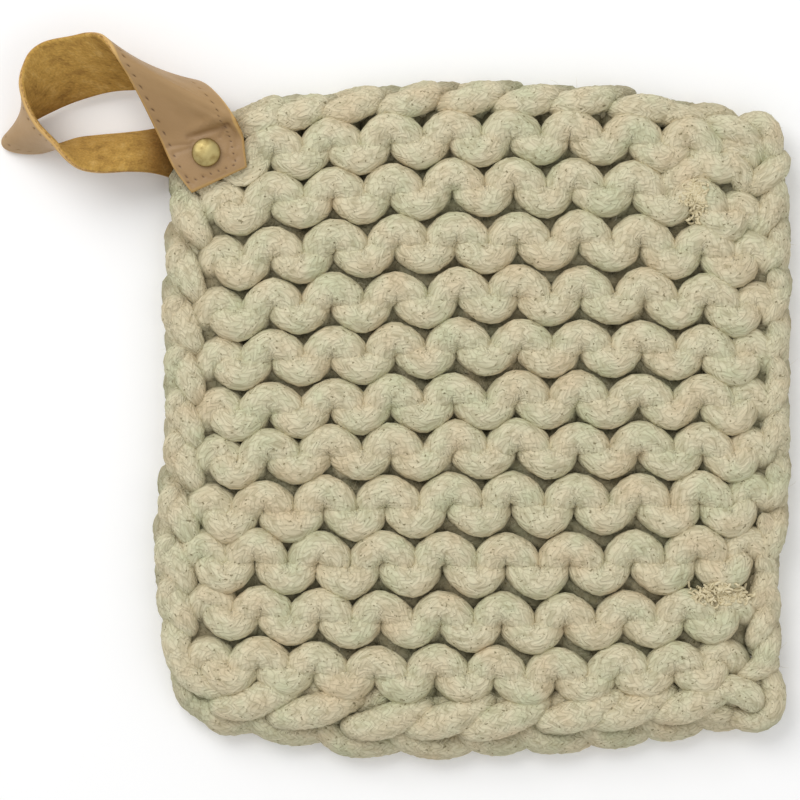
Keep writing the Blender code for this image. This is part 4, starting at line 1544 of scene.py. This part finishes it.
    def _add_shell(self, parts: MeshParts, sides: np.ndarray, tone: np.ndarray,
                   along: np.ndarray, across: np.ndarray) -> None:
        """Add the grain side, the flesh side and the wall between them.

        Args:
            parts: the mesh that they go into.
            sides: the grain side's grid of points, and the flesh side's.
            tone: red where the edge is cut, green for the painted shade in the needle holes, and
                blue for the wear and the painted crease shade on the grain side and the painted shade
                on the flesh side, at every point.
            along: the distance run at each section.
            across: the distance across at each point of a section.
        """
        rows, columns = sides.shape[1:3]
        below = rows * columns
        number = np.arange(below).reshape(rows, columns)
        top = np.stack([number[:-1, 1:], number[1:, 1:], number[1:, :-1], number[:-1, :-1]],
                       axis=-1).reshape(-1, 4)
        rim = np.concatenate([number[:, 0], number[-1, 1:], number[-2::-1, -1], number[0, -2:0:-1]])
        after = np.roll(rim, -1)
        wall = np.stack([after + below, rim + below, rim, after], axis=-1)
        quads = np.concatenate([top, top[:, ::-1] + below, wall])
        uv = np.stack(np.meshgrid(along, across, indexing="ij"), axis=-1).reshape(-1, 2) * MM
        slots = np.repeat((0, 1, 2), (len(top), len(top), len(wall)))
        parts.add(sides.reshape(-1, 3), quads, np.tile(uv, (2, 1))[quads], tone.reshape(-1, 3),
                  slots=slots)


# ---- Rivet -----------------------------------------------------------------------------------
@dataclass
class Rivet:
    """The stamped rivet: a domed cap on the front and a flat one with the post on the back."""

    cap_radius: float = 4.5
    cap_base: float = 14.4
    cap_edge: float = 0.7
    cap_dome: float = 1.7
    dome_step: int = 9          # degrees from ring to ring of the dome
    back_thickness: float = 1.1
    mark_inset: float = 1.6     # from the back's rim in to the mark that the setter leaves
    mark_depth: float = 0.35
    post_radius: float = 2.0
    post_top: float = 15.3
    segments: int = 48
    rounding: float = 0.18
    rounding_segments: int = 3
    rounded_from: float = 40.0  # degrees between faces from which an edge is rounded,
    smooth_to: float = 50.0     # and up to which it is shaded smooth
    level: float = 0.99         # the upright share of a level face's normal

    def _disc(self, low: float, high: float) -> bpy.types.Object:
        """Add a disc as wide as the caps on the rivet's axis, and enter edit mode.

        Args:
            low: its lowest height.
            high: its highest height.

        Returns:
            The new object.
        """
        bpy.ops.object.select_all(action="DESELECT")
        middle = (np.array((*RIVET_AXIS, (low + high) / 2)) + CENTRE_SHIFT) * MM
        bpy.ops.mesh.primitive_cylinder_add(vertices=self.segments, radius=self.cap_radius * MM,
                                            depth=(high - low) * MM, location=middle)
        item = bpy.context.active_object
        bpy.ops.object.transform_apply(location=True, rotation=True, scale=True)
        bpy.ops.object.mode_set(mode="EDIT")
        bpy.ops.mesh.select_mode(type="FACE")
        return item

    def _pick_face(self, item: bpy.types.Object, up: float) -> None:
        """Select only an end face of a disc.

        Args:
            item: the disc, in edit mode.
            up: 1 for the end that points up, and -1 for the one that points down.
        """
        bpy.ops.mesh.select_all(action="DESELECT")
        bpy.ops.object.mode_set(mode="OBJECT")
        flat = [face for face in item.data.polygons if face.normal.z * up > self.level]
        max(flat, key=lambda face: face.center.z * up).select = True
        bpy.ops.object.mode_set(mode="EDIT")

    def _finish(self, item: bpy.types.Object, name: str,
                material: bpy.types.Material) -> bpy.types.Object:
        """Leave edit mode, round the edges, smooth and dress a disc.

        Args:
            item: the disc.
            name: its final name.
            material: its finish.

        Returns:
            The same object.
        """
        bpy.ops.object.mode_set(mode="OBJECT")
        item.name = item.data.name = name
        bevel = item.modifiers.new("rounded_rim", "BEVEL")
        bevel.width = self.rounding * MM
        bevel.segments = self.rounding_segments
        bevel.limit_method = "ANGLE"
        bevel.angle_limit = math.radians(self.rounded_from)
        bpy.ops.object.modifier_apply(modifier=bevel.name)
        bpy.ops.object.shade_smooth_by_angle(angle=math.radians(self.smooth_to))
        item.data.materials.append(material)
        return item

    def build_cap(self, material: bpy.types.Material) -> bpy.types.Object:
        """Model the domed cap from a low disc whose top is inset and raised step by step.

        Args:
            material: its finish.

        Returns:
            The piece.
        """
        cap = self._disc(self.cap_base, self.cap_base + self.cap_edge)
        self._pick_face(cap, 1.0)
        angles = [math.radians(angle) for angle in range(0, 90, self.dome_step)]
        for here, there in zip(angles, angles[1:]):
            inward = self.cap_radius * (math.cos(here) - math.cos(there))
            upward = self.cap_dome * (math.sin(there) - math.sin(here))
            bpy.ops.mesh.inset(thickness=inward * MM, depth=0.0)
            bpy.ops.transform.translate(value=(0, 0, upward * MM))
        return self._finish(cap, "rivet_dome", material)

    def build_back(self, material: bpy.types.Material) -> bpy.types.Object:
        """Model the flat back cap with its set mark, and the post that rises from it.

        Args:
            material: its finish.

        Returns:
            The piece.
        """
        back = self._disc(0.0, self.back_thickness)
        post_height = self.post_top - self.back_thickness
        for up, inset, rise in ((1.0, self.cap_radius - self.post_radius, post_height),
                                (-1.0, self.mark_inset, self.mark_depth)):
            self._pick_face(back, up)
            bpy.ops.mesh.inset(thickness=inset * MM, depth=0.0)
            bpy.ops.mesh.extrude_region_move(TRANSFORM_OT_translate={"value": (0, 0, rise * MM)})
        return self._finish(back, "rivet_back", material)


# ---- Studio ----------------------------------------------------------------------------------
@dataclass(frozen=True)
class Softbox:
    """One square light aimed at the pot holder: where it hangs, its side and its watts."""

    name: str
    place: tuple[float, float, float]   # in metres
    side: float                         # in metres
    power: float

    def build(self) -> None:
        """Hang the light."""
        data = bpy.data.lights.new(self.name, "AREA")
        data.size = self.side
        data.energy = self.power
        light = bpy.data.objects.new(self.name, data)
        bpy.context.scene.collection.objects.link(light)
        light.location = self.place
        light.rotation_euler = (-Vector(self.place)).to_track_quat("-Z", "Y").to_euler()


@dataclass
class Studio:
    """The photograph's view from straight above, soft light and white paper."""

    camera_x: float = 1.49
    camera_y: float = -1.34
    camera_height: float = 1000.0
    view_plane_z: float = 8.5
    view_width: float = 252.0
    sensor: float = 36.0
    sees_to: float = 20.0       # in metres
    sky: float = 0.66
    softboxes: tuple[Softbox, ...] = (Softbox("key", (-0.55, 0.75, 1.05), 0.9, 9.6),
                                      Softbox("fill", (0.8, -0.4, 1.2), 1.2, 2.6))
    paper_side: float = 6.0     # in metres

    def build(self) -> None:
        """Set up the camera, the lights and the paper."""
        self._add_camera()
        for softbox in self.softboxes:
            softbox.build()
        world = bpy.data.worlds.new("soft_room")
        world.use_nodes = True
        set_inputs(world.node_tree, world.node_tree.nodes["Background"],
                   ((1.0, 1.0, 1.0, 1.0), self.sky))
        bpy.context.scene.world = world
        bpy.ops.object.select_all(action="DESELECT")
        bpy.ops.mesh.primitive_plane_add(size=self.paper_side, location=(0, 0, 0))
        paper = bpy.context.active_object
        paper.name = "paper"
        paper.data.materials.append(PaperFinish().build())
        bpy.context.scene.view_settings.view_transform = "Standard"

    def _add_camera(self) -> None:
        """Place the camera straight above the photograph's centre."""
        data = bpy.data.cameras.new("camera")
        data.sensor_width = self.sensor
        data.lens = self.sensor * self.camera_height / self.view_width
        data.clip_end = self.sees_to
        camera = bpy.data.objects.new("camera", data)
        bpy.context.scene.collection.objects.link(camera)
        camera.location = (self.camera_x * MM, self.camera_y * MM,
                           (self.view_plane_z + self.camera_height) * MM)
        bpy.context.scene.camera = camera


def report(piece: bpy.types.Object) -> None:
    """Log a piece's name and its number of triangles."""
    piece.data.calc_loop_triangles()
    LOG.info("%s: %d triangles", piece.name, len(piece.data.loop_triangles))


def main() -> None:
    """Build the knit, the strap and the rivet, dress them and set up the studio."""
    Studio().build()
    cotton = CottonCordFinish().build()
    cord, corner = Cord(), PinchedCorner()
    rows = GarterStitch(cord, corner).build(cotton)
    edges = EdgeChains(cord, corner).build(cotton)
    for piece in [*rows, edges]:
        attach(piece, "root")
        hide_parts("knit")
        report(piece)
    surface = cord_surface([*rows, edges])
    pale = LooseCottonFinish("stray_cotton_fibre", "ddd6bd", "c2b998").build()
    tan = LooseCottonFinish("frayed_cotton", "ddd1af", "c8bb97").build()
    for piece in (StrayFibres().build(surface, pale), FrayedStrands().build(surface, tan)):
        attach(piece, "root")
        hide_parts("knit")
        report(piece)
    loop = HangingLoop()
    strap = loop.build([GrainLeatherFinish().build(), SuedeLeatherFinish().build(),
                        RawEdgeFinish().build()])
    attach(strap, "root")
    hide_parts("strap")
    report(strap)
    brass, rivet = AgedBrassFinish().build(), Rivet()
    for piece, node in ((rivet.build_cap(brass), "rivet_cap"),
                        (rivet.build_back(brass), "rivet_post")):
        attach(piece, "root")
        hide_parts(node)
        report(piece)


if __name__ == "__main__":
    logging.basicConfig(level=logging.INFO, format="%(name)s %(message)s")
    main()
